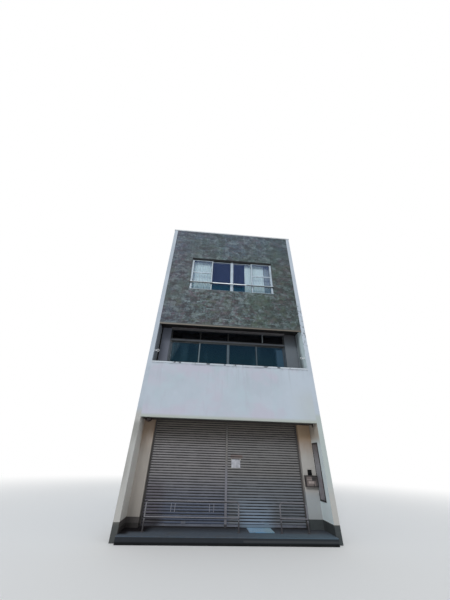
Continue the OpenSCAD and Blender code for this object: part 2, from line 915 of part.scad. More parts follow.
ground_floor_slab();
porch_slab();
left_plinth();
right_plinth();
rear_plinth();
left_side_wall();
right_side_wall();
rear_wall();
left_jamb_wall();
right_jamb_wall();
entrance_beam();
second_floor_slab();
ceiling_boards();
balcony_parapet();
balcony_coping();
left_pier();
right_pier();
third_floor_beam();
third_floor_slab();
third_floor_front_wall();
tile_facing();
drip_trim();
roof_slab();
side_copings();
end_copings();
balcony_window_frame();
balcony_window_sashes();
balcony_window_glass();
front_window_frame();
front_window_sashes();
front_window_glass();
window_guard_bar();
rear_windows();
rear_window_glass();
left_shutter();
right_shutter();
shutter_guides();
left_guard_rail();
right_guard_rail();
letterbox();
door_phone();
sign_plate();
laundry_pole_brackets();
door_mat();
curtain_rails();
curtains();
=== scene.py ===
import math
import random

import bmesh
import bpy
import numpy as np
from mathutils import Matrix, Vector, noise


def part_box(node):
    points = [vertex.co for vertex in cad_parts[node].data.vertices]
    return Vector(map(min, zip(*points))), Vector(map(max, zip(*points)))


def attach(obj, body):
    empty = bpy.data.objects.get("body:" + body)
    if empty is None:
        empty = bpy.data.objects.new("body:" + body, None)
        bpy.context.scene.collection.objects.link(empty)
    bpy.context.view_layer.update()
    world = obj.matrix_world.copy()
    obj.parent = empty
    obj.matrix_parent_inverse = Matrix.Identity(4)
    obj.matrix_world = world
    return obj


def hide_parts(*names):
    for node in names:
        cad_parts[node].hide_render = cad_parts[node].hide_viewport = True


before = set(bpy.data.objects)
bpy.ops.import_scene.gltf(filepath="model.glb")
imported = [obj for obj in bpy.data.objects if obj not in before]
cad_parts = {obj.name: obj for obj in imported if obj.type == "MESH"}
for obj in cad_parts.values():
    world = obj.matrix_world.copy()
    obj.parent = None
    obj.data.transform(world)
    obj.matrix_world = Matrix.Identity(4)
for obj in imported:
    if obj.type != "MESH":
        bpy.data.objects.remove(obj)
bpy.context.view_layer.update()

bl_info = {
    "name": "Shop house finishes",
    "version": (1, 0, 0),
    "blender": (4, 5, 0),
    "location": "3D View > Sidebar > Shop House",
    "description": "Finishes and fittings of a narrow three-storey shop house, "
                   "built round its fixed frame",
    "category": "Object",
}

# Lines of the frame that finishes and fittings are placed by
FACADE_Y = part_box("left_side_wall")[0].y
INNER_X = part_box("right_side_wall")[0].x
PORCH_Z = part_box("porch_slab")[1].z
CEILING_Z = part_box("entrance_beam")[0].z
PARAPET_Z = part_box("balcony_parapet")[1].z
FACING_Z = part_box("tile_facing")[0].z
TRANSOM_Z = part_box("balcony_window_frame")[1].z - 0.37
GUARD_BAR_Z = sum(corner.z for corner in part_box("window_guard_bar")) / 2
ROOM_TOP_Z = 8.95

# Sizes that belong to one piece each
TILE_ROUGHNESS, TILE_LEAN, TILE_PROUD, TILE_RIM = 0.009, 0.003, 0.005, 0.002
TILE_TONE, TONE_CLOUDS, TONE_SPREAD = 0.47, 0.12, 0.15
SHORTEST_TILE = 0.03
SLAT_SECTION = ((0.0, 1.0), (0.07, 0.98), (0.13, 0.42), (0.22, 0.12), (0.38, 0.02), (0.56, 0.0),
                (0.74, 0.10), (0.86, 0.34), (0.93, 0.95), (1.0, 1.0))
SLAT_THICKNESS, SLAT_DENTS = 0.0007, 0.0016
SHUTTER_BAR_HEIGHT = 0.056
SHUTTER_HANDLES_X = (-1.425, -1.325, -0.445, -0.335)
CENTRE_POST_X = (-0.07, 0.01)
LOWER_RAIL_HEIGHT = 0.252
BEAD_WIDTH, BEAD_BACK, BEAD_FRONT = 0.006, 0.0002, 0.0035
NOTICE_X, NOTICE_Z, PAPER_THICKNESS = (0.112, 0.360), (1.362, 1.556), 0.0003
LAMP_X, LAMP_BACK, LAMP_RADIUS = -2.29, 0.285, 0.11
BRACKET_BACK = 0.31

# How far a curtain's pleats swing in their box, drift, spread sideways and loosen at the hem
PLEAT_SWING, PLEAT_DRIFT, PLEAT_SPREAD, HEM_LOOSENESS = 0.34, 0.28, 0.16, 0.28

# Seeds of what is uneven
TILE_SEED, FIRST_CURTAIN_SEED = 7, 11
SHUTTER_SEEDS = {"left_shutter": 3, "right_shutter": 8}

# The studio: the sky, the lamp with its softness in degrees, and where the floor fades to white
SKY_STRENGTH, KEY_STRENGTH, KEY_SOFTNESS = 0.60, 1.35, 20
KEY_PLACE, KEY_DIRECTION = (-4, -14, 14), (0.32, 1.0, -0.65)
FLOOR_RADIUS, FLOOR_FADE = 300, (7.0, 22.0)

# The camera: its turns in radians, its focal length for a picture 600 high,
# and its place from the facade
CAMERA_YAW, CAMERA_PITCH, CAMERA_ROLL = 0.068, 0.59, 0.03
FOCAL_LENGTH, PICTURE_HEIGHT, SENSOR = 237, 600, 36.0
CAMERA_X, CAMERA_BACK, CAMERA_Z = -0.753, 7.291, 1.566


# Sizes and colours that a user would change

def length(name, description, value):
    return bpy.props.FloatProperty(name=name, description=description, default=value, unit="LENGTH")


def seen_colour(name, description, value):
    return bpy.props.FloatVectorProperty(
        name=name, description=description, default=value, size=3, min=0, max=1,
        subtype="COLOR_GAMMA")


class ShopHouseSizes(bpy.types.PropertyGroup):
    tile_length: length("Tile length", "Length of a facade tile with its joint", 0.2343)
    tile_course: length("Tile course", "Height of a course of facade tiles with its joint", 0.067)
    tile_joint: length("Tile joint", "Width of the joint between facade tiles", 0.007)
    tile_relief: length("Tile relief", "Depth of the facade tiles in front of their bed", 0.009)
    slat_pitch: length("Slat pitch", "Height of one shutter slat", 0.0586)
    slat_depth: length("Slat depth", "How far a shutter slat bulges", 0.0105)
    pleat_pitch: length("Pleat pitch", "Width of one curtain pleat", 0.062)
    strap_pitch: length("Strap pitch", "Distance between the joint straps of the roof copings", 1.6)


class ShopHouseColours(bpy.types.PropertyGroup):
    white_paint: seen_colour("White paint", "Paint of walls and balcony", (0.70, 0.74, 0.785))
    jamb_paint: seen_colour("Jamb paint", "Cream paint of the entrance jambs", (0.68, 0.655, 0.63))
    pier_render: seen_colour("Pier render", "Render of the balcony's piers", (0.41, 0.43, 0.48))
    plinth: seen_colour("Plinth", "Mortar of the plinth band", (0.26, 0.275, 0.275))
    porch: seen_colour("Porch", "Mortar of the porch", (0.20, 0.23, 0.27))
    tile: seen_colour("Tile", "Middle tone of the facade tiles", (0.27, 0.33, 0.35))
    trim: seen_colour("Trim", "Painted metal of the drip trim", (0.42, 0.39, 0.345))
    window_metal: seen_colour("Window metal", "Metal of front and rear windows", (0.70, 0.76, 0.81))
    # the balcony windows' metal is darker partly for dust and partly as painted shade of the deep
    # balcony
    dusty_shaded_metal: seen_colour("Dull metal", "Metal of the balcony windows", (0.33, 0.36, 0.40))
    shutter: seen_colour("Shutter", "Paint of the shutter slats", (0.485, 0.475, 0.485))
    rail: seen_colour("Rail", "Paint of the guard rails", (0.43, 0.43, 0.46))
    letterbox: seen_colour("Letterbox", "Paint of the letterbox", (0.44, 0.40, 0.39))
    curtain: seen_colour("Curtain", "Cloth of the third floor curtains", (0.87, 0.94, 0.94))
    mat: seen_colour("Mat", "Pile of the door mat", (0.315, 0.54, 0.69))


# Modelling helpers

def object_mode():
    bpy.ops.object.mode_set(mode="OBJECT")


def deselect():
    if bpy.context.mode != "OBJECT":
        object_mode()
    bpy.ops.object.select_all(action="DESELECT")


def pick(*pieces):
    """Selects these pieces alone, the first one active."""
    deselect()
    for piece in pieces:
        piece.select_set(True)
    bpy.context.view_layer.objects.active = pieces[0]


def edit_faces(piece, test=lambda at, normal: True):
    """Opens a piece in edit mode with the faces selected whose middle and normal pass the test."""
    pick(piece)
    bpy.ops.object.mode_set(mode="EDIT")
    bpy.ops.mesh.select_mode(type="FACE")
    bpy.ops.mesh.select_all(action="DESELECT")
    mesh = bmesh.from_edit_mesh(piece.data)
    for face in mesh.faces:
        face.select_set(bool(test(face.calc_center_median(), face.normal)))
    bmesh.update_edit_mesh(piece.data)


def edit_edges(piece, test):
    """Opens a piece in edit mode with the edges selected whose two ends pass the test."""
    edit_faces(piece, lambda at, normal: False)
    bpy.ops.mesh.select_mode(type="EDGE")
    mesh = bmesh.from_edit_mesh(piece.data)
    for edge in mesh.edges:
        edge.select_set(test(*(v.co for v in edge.verts)))
    bmesh.update_edit_mesh(piece.data)


def bevel_edges(width, segments):
    """Bevels what is selected and leaves edit mode."""
    bpy.ops.mesh.bevel(offset=width, segments=segments, affect="EDGES")
    object_mode()


def extrude(*move):
    bpy.ops.mesh.extrude_region_move(TRANSFORM_OT_translate={"value": move})


def settle(name):
    """Names the new primitive and puts its place and size into its mesh."""
    piece = bpy.context.object
    piece.name = piece.data.name = name
    bpy.ops.object.transform_apply(location=True, rotation=True, scale=True)
    return piece


def block(name, low, high, bevel=0.0, segments=1):
    """A box between two corners, with its edges bevelled."""
    deselect()
    low, high = Vector(low), Vector(high)
    bpy.ops.mesh.primitive_cube_add(size=1, location=(low + high) / 2, scale=high - low)
    piece = settle(name)
    if bevel:
        edit_faces(piece)
        bevel_edges(bevel, segments)
    return piece


def stretched(piece, centre, factors):
    """Scales a piece's mesh about a point."""
    edit_faces(piece)
    bpy.ops.transform.resize(value=factors, center_override=centre)
    object_mode()
    return piece


def upright_grid(name, low, high, columns, rows):
    """A flat sheet of cells that faces the front, at the first corner's depth."""
    deselect()
    centre = ((low[0] + high[0]) / 2, low[1], (low[2] + high[2]) / 2)
    bpy.ops.mesh.primitive_grid_add(
        x_subdivisions=columns, y_subdivisions=rows, size=1, location=centre,
        rotation=(math.pi / 2, 0, 0))
    return stretched(settle(name), centre, (high[0] - low[0], 1, high[2] - low[2]))


def disc(name, centre, radius, depth, axis="Z", vertices=24, bevel=0.0, segments=2):
    """A short cylinder along an axis, with its rims bevelled."""
    deselect()
    turn = {"X": (0, math.pi / 2, 0), "Y": (math.pi / 2, 0, 0), "Z": (0, 0, 0)}[axis]
    bpy.ops.mesh.primitive_cylinder_add(
        vertices=vertices, radius=radius, depth=depth, location=centre, rotation=turn)
    piece = settle(name)
    if bevel:
        along = "XYZ".index(axis)
        edit_faces(piece, lambda at, normal: abs(normal[along]) > 0.9)
        bevel_edges(bevel, segments)
    return piece


def ring(name, low, high, width, bevel=0.0, axis=1):
    """An upright frame round an axis, whose four bars have that width."""
    piece = block(name, low, high)
    edit_faces(piece, lambda at, normal: abs(normal[axis]) > 0.9)
    bpy.ops.mesh.inset(thickness=width)
    bpy.ops.mesh.bridge_edge_loops()
    if bevel:
        bpy.ops.mesh.select_all(action="SELECT")
        bpy.ops.mesh.bevel(offset=bevel, segments=1, affect="EDGES")
    object_mode()
    return piece


def panelled(piece, test, border, rim, depth):
    """Sinks the faces that pass the test inside a border, with a sloping rim."""
    edit_faces(piece, test)
    bpy.ops.mesh.inset(thickness=border)
    bpy.ops.mesh.inset(thickness=rim, depth=-depth)
    object_mode()
    return piece


def finger_pull(name, low, high, border, depth):
    """A small block whose front is sunk inside a border."""
    piece = block(name, low, high, 0.002)
    edit_faces(piece, lambda at, normal: normal.y < -0.9)
    bpy.ops.mesh.inset(thickness=border)
    extrude(0, depth, 0)
    object_mode()
    return piece


def with_copies(piece, offsets):
    """A piece and its copies at these offsets, each with its own mesh."""
    pieces = [piece]
    for offset in offsets:
        copy = piece.copy()
        copy.data = piece.data.copy()
        copy.data.transform(Matrix.Translation(offset))
        bpy.context.scene.collection.objects.link(copy)
        pieces.append(copy)
    return pieces


def joined(name, pieces):
    """Several pieces as one."""
    pick(*pieces)
    if len(pieces) > 1:
        bpy.ops.object.join()
    pieces[0].name = pieces[0].data.name = name
    return pieces[0]


def applied(piece, kind, **settings):
    """Adds a modifier and applies it at once."""
    pick(piece)
    modifier = piece.modifiers.new(kind.lower(), kind)
    for key, value in settings.items():
        setattr(modifier, key, value)
    bpy.ops.object.modifier_apply(modifier=modifier.name)
    return piece


def outward(piece):
    """Points a closed shape's faces outwards."""
    edit_faces(piece)
    bpy.ops.mesh.normals_make_consistent(inside=False)
    object_mode()
    return piece


def smooth(piece, degrees=35):
    pick(piece)
    bpy.ops.object.shade_smooth_by_angle(angle=math.radians(degrees))
    return piece


def fitted(piece, material, slot, *stands_for):
    """Gives a finished piece its material and its body, and hides the nodes that it stands for. The
    slot is not used.
    """
    piece.data.materials.clear()
    piece.data.materials.append(material)
    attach(piece, "root")
    if stands_for:
        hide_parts(*stands_for)
    return piece


def painted(material, *nodes):
    """Gives CAD nodes a material."""
    for name in nodes:
        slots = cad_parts[name].data.materials
        slots.clear()
        slots.append(material)


# Materials

def linear(colour, shade=1.0):
    """A colour as it is seen, as the light values that a shader takes."""
    values = [c / 12.92 if c <= 0.04045 else ((c + 0.055) / 1.055) ** 2.4 for c in colour[:3]]
    return (*[min(1.0, v * shade) for v in values], 1.0)


def feed(tree, socket, value):
    """Links a value to a socket, or sets it there."""
    if isinstance(value, bpy.types.NodeSocket):
        tree.links.new(value, socket)
    else:
        socket.default_value = value


def shader_node(tree, kind, inputs=None, **settings):
    """Adds a shader node, sets it up and feeds its inputs."""
    made = tree.nodes.new("ShaderNode" + kind)
    for key, value in settings.items():
        setattr(made, key, value)
    for key, value in (inputs or {}).items():
        feed(tree, made.inputs[key], value)
    return made


class Finish:
    """A procedural material on Object coordinates, whose colour is laid down in coats.

    Its y is measured back from the front edge of the side walls."""

    def __init__(self, name, colour, roughness=0.6, **settings):
        self.material = bpy.data.materials.new(name)
        self.material.use_nodes = True
        self.tree = self.material.node_tree
        self.shader = self.tree.nodes["Principled BSDF"]
        for key, value in {"roughness": roughness, **settings}.items():
            self.give(key.replace("_", " ").title(), value)
        self.coat = linear(colour)
        self.place = self.node("TexCoord").outputs["Object"]
        self.x, y, self.z = self.node("SeparateXYZ", {"Vector": self.place}).outputs
        self.y = self.maths("SUBTRACT", y, FACADE_Y)

    def node(self, kind, inputs=None, **settings):
        return shader_node(self.tree, kind, inputs, **settings)

    def give(self, name, value):
        """Links or sets an input of the shader itself."""
        feed(self.tree, self.shader.inputs[name], value)
        return self

    def maths(self, operation, a, b=0.0):
        return self.node("Math", {0: a, 1: b}, operation=operation).outputs[0]

    def times(self, first, *others):
        for value in others:
            first = self.maths("MULTIPLY", first, value)
        return first

    def either(self, first, *others):
        for value in others:
            first = self.maths("MAXIMUM", first, value)
        return first

    def grain(self, scale, detail=4.0, stretch=(1, 1, 1)):
        place = self.node("Mapping", {"Vector": self.place, "Scale": stretch}).outputs["Vector"]
        return self.node("TexNoise", {
            "Vector": place, "Scale": scale, "Detail": detail, "Roughness": 0.55}).outputs[0]

    def level(self, value, start, end, high=1.0, low=0.0):
        """A soft step: the low value up to the start, and the high one from the end."""
        return self.node("MapRange", {
            "Value": value, "From Min": start, "From Max": end, "To Min": low, "To Max": high},
            interpolation_type="SMOOTHSTEP").outputs["Result"]

    def patches(self, scale, start, end, share=1.0, detail=5.0, stretch=(1, 1, 1)):
        """A cloudy mask: nought where the noise is below the start, the share above the end."""
        return self.level(self.grain(scale, detail, stretch), start, end, share)

    def within(self, x=(None, None), y=(None, None), z=(None, None), soft=0.002):
        """A mask that is 1 between the ends on each axis; None leaves an end open."""
        masks = []
        for axis, (start, end) in zip((self.x, self.y, self.z), (x, y, z)):
            if start is not None:
                masks.append(self.level(axis, start - soft, start + soft))
            if end is not None:
                masks.append(self.level(axis, end + soft, end - soft))
        return self.times(*masks)

    @property
    def left(self):
        """A mask of the half left of the middle."""
        return self.level(self.x, 0.1, 0.0)

    @property
    def right(self):
        """A mask of the half right of the middle."""
        return self.level(self.x, 0.0, 0.1)

    def ramp(self, value, stops):
        made = self.node("ValToRGB", {"Fac": value})
        points = made.color_ramp.elements
        while len(points) < len(stops):
            points.new(1.0)
        for point, (at, colour) in zip(points, stops):
            point.position, point.color = at, linear(colour)
        return made.outputs["Color"]

    def over(self, colour, *shares, x=None, y=None, z=None, shade=1.0):
        """Lays a colour over the coats below, as far as the product of the shares says.

        x, y and z are further shares, given as the steps along an axis that level takes."""
        axes = zip((self.x, self.y, self.z), (x, y, z))
        steps = [self.level(axis, *ends) for axis, ends in axes if ends]
        inputs = {0: self.times(*shares, *steps), 6: self.coat, 7: linear(colour, shade)}
        self.coat = self.node("Mix", inputs, data_type="RGBA").outputs[2]
        return self

    def bump(self, height, distance):
        made = self.node("Bump", {"Height": height, "Distance": distance})
        return self.give("Normal", made.outputs["Normal"])

    def done(self):
        return self.give("Base Color", self.coat).material


def masonry(name, colour, mottle=0.07, bump=0.0015):
    """Painted or bare render, softly mottled."""
    f = Finish(name, colour, 0.82)
    f.over(colour, f.patches(0.9, 0.38, 0.72, detail=6.0), shade=1 - 2.2 * mottle)
    f.over(colour, f.patches(3.7, 0.55, 0.8, 0.6), shade=1 + mottle)
    f.bump(f.maths("ADD", f.grain(90, 3.0), f.times(f.grain(6.0), 1.6)), bump)
    return f.give("Roughness", f.level(f.grain(5.0), 0.3, 0.7, 0.90, 0.74))


def streaks(f, top, run, share):
    """Rain streaks and a dirty edge below a top."""
    soot, below = (0.42, 0.43, 0.41), f.level(f.z, top + 0.01, top)
    f.over(soot, f.patches(1.0, 0.5, 0.78, stretch=(11, 11, 0.5)), below, share,
           z=(top - run, top - 0.05))
    f.over(soot, f.patches(7.0, 0.42, 0.7, stretch=(1, 1, 0.4)), below, 0.5,
           z=(top - 0.12, top), shade=1.3)


def foot_dirt(f, height, colour, share):
    """Dirt that rises from the ground."""
    rise = f.maths("ADD", f.z, f.times(f.grain(2.3, 5.0), -0.9 * height))
    f.over(colour, f.level(rise, 0.6 * height, -0.1, share))


def metal(name, colour, roughness=0.45, wear=0.25, rust=0.0):
    """Painted or anodised metal with dull patches, dust and, where asked, rust."""
    f = Finish(name, colour, roughness)
    f.over(colour, f.patches(2.6, 0.4, 0.7), shade=0.78)
    f.over((0.50, 0.49, 0.47), f.patches(9.0, 0.5, 0.78, wear, 6.0, (1, 1, 0.35)))
    if rust:
        f.over((0.33, 0.19, 0.12), f.patches(24.0, 0.60, 0.70, rust, 6.0, (1, 1, 0.7)))
    f.bump(f.grain(160, 2.0), 0.0002)
    return f.give("Roughness",
                  f.level(f.grain(14.0), 0.35, 0.7, roughness + 0.15, roughness - 0.08))


def glass(name, colour, alpha, tint):
    """Thin glass with a tinted shine and a film of dust."""
    f = Finish(name, colour, 0.05, alpha=alpha, specular_tint=linear(tint))
    return f.over((0.22, 0.27, 0.30), f.patches(3.0, 0.45, 0.8, 0.2, stretch=(1, 1, 0.5)))


def cloth(name, colour):
    """A plain weave on the cloth's own map."""
    f = Finish(name, colour, 0.85, sheen_weight=0.15)
    place = {"Vector": f.node("TexCoord").outputs["UV"], "Scale": 900.0}
    threads = f.either(*(f.node("TexWave", place, bands_direction=axis).outputs["Fac"]
                         for axis in "XY"))
    f.over(colour, f.level(threads, 1.0, 0.0, 0.6), shade=0.88)
    f.over(colour, f.patches(2.2, 0.45, 0.8, 0.5), shade=0.86)
    return f.bump(threads, 0.0004)


# Walls, floors and the porch

def wall_paint(colour):
    """White paint: dirty at head and foot, stained, and with painted light and shade on fronts,
    recesses and rooms.
    """
    f = masonry("white_wall_paint", colour, 0.05)
    streaks(f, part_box("left_side_wall")[1].z, 1.5, 0.35)
    foot_dirt(f, 1.1, (0.56, 0.545, 0.51), 0.5)
    front = f.level(f.y, 0.003, 0.001)
    # painted light: the fronts are warmer and a little darker low down, standing in for warm light
    # thrown up from the ground
    f.over((0.675, 0.67, 0.655), front, z=(2.75, 2.5, 0.92))
    f.over((0.66, 0.70, 0.695), front, f.right, f.level(f.z, 2.75, 2.6), z=(0.8, 1.3, 0.92))
    f.over((0.55, 0.55, 0.535), front, f.left, f.level(f.z, 2.43, 2.28), z=(1.75, 2.15, 0.85))
    f.over((0.47, 0.47, 0.45), front, f.patches(1.0, 0.5, 0.74, 0.4, stretch=(9, 9, 0.6)),
           x=(0.1, 0.0, 1, 0.3), z=(2.6, 1.6))
    f.over((0.23, 0.27, 0.27), f.within((0, None), (None, 0.1), (4.6, 6.5), 0.3),
           f.patches(15.0, 0.54, 0.62, 0.85, stretch=(1, 1, 0.6)))

    side = INNER_X + 0.001
    inside = f.within((-side, side), (0.004, 0.72), (0.0, CEILING_Z))
    # painted light: the inner faces of the side walls at the entrance are paler, warm white on the
    # left and bluish white on the right
    f.over((0.92, 0.90, 0.865), inside, f.left, 0.94)
    f.over((0.93, 0.98, 0.99), inside, f.right, 0.97)
    f.over((0.70, 0.62, 0.53), inside, f.right, z=(1.9, 2.2, 0.9))
    f.over((0.66, 0.57, 0.48), inside, f.left, y=(0.38, 0.6), z=(1.7, 2.15, 0.7))
    f.over((0.50, 0.42, 0.34), inside, f.patches(1.3, 0.3, 0.55, 0.7, stretch=(2.5, 2.5, 0.8)),
           y=(0.1, 0.5, 1, 0.35), z=(1.95, CEILING_Z - 0.05))

    # beside the balcony, on the inner faces: painted shade on the left; painted light on the right,
    # with painted shade deeper in, a near-black painted shadow in its back corner and a darker band
    # just above the parapet. The columns are colour, share, width, front, top and softness
    head, back = FACING_Z + 0.05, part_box("rear_wall")[0].y + 0.001 - FACADE_Y
    for tone, share, width, start, top, soft in (
            ((0.16, 0.16, 0.17), 0.79, (-side, 0), 0.1, head, 0.01),
            ((0.91, 0.985, 1.0), 1, (0, side), 0.004, head, 0.002),
            ((0.42, 0.47, 0.51), 0.7, (0, side), 0.28, head, 0.03),
            ((0.42, 0.47, 0.51), 0.35, (0, side), 0.02, PARAPET_Z + 0.16, 0.05),
            ((0.36, 0.42, 0.47), 0.45, (0, side), 0.24, PARAPET_Z + 0.65, 0.05),
            ((0.07, 0.08, 0.085), 0.92, (0, side), 0.365, head, 0.02)):
        f.over(tone, share, f.within(width, (start, 0.56), (PARAPET_Z, top), soft))
    # painted shade: the walls inside the rooms are painted dark grey
    f.over((0.30, 0.31, 0.33), f.either(f.within((-side, side), (0.19, back), (head, ROOM_TOP_Z)),
                                        f.within((-side, side), (0.71, back), (0.0, ROOM_TOP_Z))))
    return f.done()


def parapet_paint(colour):
    """White paint with bluish and mauve clouds, duller along its lower edge, with a painted shadow
    below the coping.
    """
    f = masonry("white_parapet_paint", colour, 0.04)
    streaks(f, PARAPET_Z, 0.9, 0.22)
    f.over((0.71, 0.705, 0.76), f.patches(0.9, 0.46, 0.64, 0.8, stretch=(1, 1, 1.4)))
    f.over((0.68, 0.745, 0.78), f.patches(1.3, 0.5, 0.66, 0.6))
    f.over((0.66, 0.665, 0.72), f.patches(1.0, 0.55, 0.72, 0.35, stretch=(6, 1, 0.9)))
    f.over((0.69, 0.72, 0.735), x=(1.6, 2.5, 0.8), z=(CEILING_Z + 1.1, CEILING_Z + 0.5))
    f.over((0.655, 0.68, 0.645), z=(CEILING_Z + 0.11, CEILING_Z + 0.02, 0.85))
    # painted shadow: a dark, broken band just below the coping
    f.over((0.36, 0.39, 0.42), f.patches(2.5, 0.40, 0.64, 0.45),
           z=(PARAPET_Z - 0.05, PARAPET_Z - 0.03))
    return f.done()


def jamb_paint(colour):
    """Cream paint with brown stains that run down from the ceiling, and painted light in the left
    corner.
    """
    f = masonry("jamb_paint", colour, 0.05)
    f.over((0.62, 0.595, 0.57), f.left, z=(1.95, 1.7, 0.95))
    f.over((0.585, 0.61, 0.625), f.right, z=(1.05, 0.75, 0.9))
    f.over((0.655, 0.645, 0.63), f.right, z=(1.05, 1.25))
    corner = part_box("left_jamb_wall")[0].x
    # painted light: the left jamb is paler towards its corner with the side wall, against the shade
    # gathered there
    f.over((0.80, 0.765, 0.73), f.left, x=(corner + 0.30, corner + 0.02, 0.6))
    f.over((0.40, 0.385, 0.375), f.within((corner + 0.33, 0), soft=0.07), z=(0.95, 0.55, 0.55))
    fall = f.maths("ADD", f.z, f.times(f.grain(1.0, 4.0, (6, 6, 1.4)), 0.6))
    f.over((0.55, 0.445, 0.345), f.level(fall, CEILING_Z - 0.625, CEILING_Z + 0.125, 0.76))
    f.over((0.67, 0.57, 0.46), f.right, z=(1.95, 2.2, 0.75))
    foot_dirt(f, 0.8, (0.56, 0.55, 0.53), 0.2)
    return f.done()


def pier_finish(colour):
    """Mauve grey render, with painted shade below the facing on the right pier, and an open joint
    at the side walls.
    """
    f = masonry("pier_render", colour, 0.06)
    f.over((0.06, 0.06, 0.06), f.level(f.maths("ABSOLUTE", f.x), INNER_X - 0.053, INNER_X - 0.049))
    f.over((0.375, 0.405, 0.43), x=(0.0, 0.3, 0.9))
    # painted shade: the right pier is darker near its top, below the facing
    f.over((0.27, 0.255, 0.26), x=(0.0, 0.3), z=(FACING_Z - 0.45, FACING_Z + 0.1, 0.75))
    return f.done()


def plinth_mortar(colour):
    """Dark mortar with a pale upper edge, near-black low in the left corner."""
    f = masonry("plinth_mortar", colour, 0.12, 0.003)
    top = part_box("left_plinth")[1].z
    f.over((0.40, 0.395, 0.37), f.patches(6.0, 0.3, 0.6, 0.6), z=(top - 0.09, top))
    f.over((0.20, 0.225, 0.235), x=(0.0, 0.1, 0.8), y=(1.0, 0.9))
    f.over((0.31, 0.29, 0.285), f.within(y=(0.02, 0.9), z=(top - 0.25, None), soft=0.03),
           x=(0.1, 0.0, 0.8))
    f.over((0.07, 0.06, 0.06), f.within((None, 0), (0.1, 1.0)),
           z=(top - 0.10, PORCH_Z + 0.08, 0.68))
    return f.done()


def porch_mortar(colour):
    """Worn mortar: a pale nosing, a darker left corner, painted shade inside and on the step, and a
    joint along its front.
    """
    f = masonry("porch_mortar", colour, 0.12, 0.002)
    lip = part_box("porch_slab")[0].y - FACADE_Y
    nosing = f.within(y=(lip - 0.01, lip + 0.03), z=(PORCH_Z - 0.02, PORCH_Z + 0.01), soft=0.006)
    f.over((0.285, 0.325, 0.37), y=(0.6, 0.1, 0.9))
    f.over((0.40, 0.40, 0.40), nosing, f.patches(8.0, 0.45, 0.7, 0.25))
    f.over((0.30, 0.28, 0.25), f.patches(1.7, 0.52, 0.75, 0.3))
    f.over((0.30, 0.375, 0.425), x=(0.1, 0.9, 0.7), y=(0.3, 0.1))
    dark_corner = f.either(f.within((None, -1.85), (0.23, None), soft=0.13),
                    f.within((None, -2.26), (0.03, None), soft=0.09))
    f.over((0.075, 0.055, 0.055), dark_corner, 0.92)
    # painted shade: darker deeper in under the ceiling, and a painted shadow along the foot of the
    # shutters
    f.over((0.075, 0.075, 0.10), y=(0.20, 0.66, 0.30))
    f.over((0.09, 0.075, 0.10), y=(0.60, 0.69, 0.85))
    face = f.level(f.y, lip + 0.012, lip + 0.004)
    # painted shade: the front face of the step is painted darker
    f.over((0.165, 0.175, 0.19), face, z=(PORCH_Z - 0.01, PORCH_Z - 0.02, 0.95))
    f.over((0.24, 0.25, 0.26), face, f.within((0.3, None), z=(0.055, 0.09), soft=0.006), 0.8)
    f.over((0.08, 0.09, 0.095), face, z=(0.055, 0.04, 0.95))
    f.give("Specular IOR Level", f.level(f.either(face, dark_corner), 0.0, 1.0, 0.1, 0.5))
    return f.done()


class SHOP_OT_masonry(bpy.types.Operator):
    """Paints the walls, floors, plinth and porch"""
    bl_idname = "shop.masonry"
    bl_label = "Masonry"

    def execute(self, context):
        colours = context.scene.shop_house_colours
        painted(wall_paint(colours.white_paint), "left_side_wall", "right_side_wall", "rear_wall")
        painted(parapet_paint(colours.white_paint), "balcony_parapet")
        painted(jamb_paint(colours.jamb_paint), "left_jamb_wall", "right_jamb_wall")
        painted(pier_finish(colours.pier_render), "left_pier", "right_pier")
        painted(plinth_mortar(colours.plinth), "left_plinth", "right_plinth", "rear_plinth")
        painted(porch_mortar(colours.porch), "porch_slab")
        coping = masonry("parapet_coping_mortar", (0.75, 0.78, 0.81))
        coping.over((0.20, 0.22, 0.24), coping.patches(5.0, 0.555, 0.63, 0.85, 6.0, (1, 1, 0.5)))
        painted(coping.done(), "balcony_coping")
        roof = masonry("roof_coating", (0.47, 0.50, 0.49), 0.12)
        # painted shade: the underside of the roof slab, the ceiling of the rooms, is painted dark
        # blue-grey
        roof.over((0.33, 0.385, 0.50), z=(ROOM_TOP_Z + 0.04, ROOM_TOP_Z + 0.02))
        painted(roof.done(), "roof_slab")
        boards = masonry("ceiling_boards", (0.22, 0.205, 0.19), 0.12)
        # painted shade: the balcony ceiling, above 4 m, is painted near-black, with dark reddish
        # patches
        upper = boards.level(boards.z, 4.0, 4.01)
        boards.over((0.05, 0.04, 0.04), upper)
        boards.over((0.17, 0.06, 0.06), upper,
                    boards.patches(1.2, 0.5, 0.62, 0.6, stretch=(1, 3, 1)))
        painted(boards.done(), "ceiling_boards")
        # painted shade: the slabs and beam over the balcony and the plaster inside the rooms are
        # painted dark
        for name, colour, *nodes in (
                ("beam_paint", (0.36, 0.33, 0.30), "entrance_beam"),
                ("floor_concrete", (0.13, 0.11, 0.11),
                 "second_floor_slab", "third_floor_beam", "third_floor_slab"),
                ("ground_slab_concrete", (0.38, 0.37, 0.36), "ground_floor_slab"),
                ("room_plaster", (0.30, 0.30, 0.30), "third_floor_front_wall")):
            painted(masonry(name, colour).done(), *nodes)
        return {"FINISHED"}


# Upper facade

def unit_tile():
    """A tile in unit measure: its face is at y = 0, in twelve parts, and its back at y = 1."""
    tile = upright_grid("unit_tile", (0, 0, 0), (1, 0, 1), 6, 2)
    edit_faces(tile)
    extrude(0, 1, 0)
    outward(tile)
    edit_faces(tile, lambda at, normal: at.y > 0.99)
    bpy.ops.mesh.dissolve_faces()
    object_mode()
    return tile


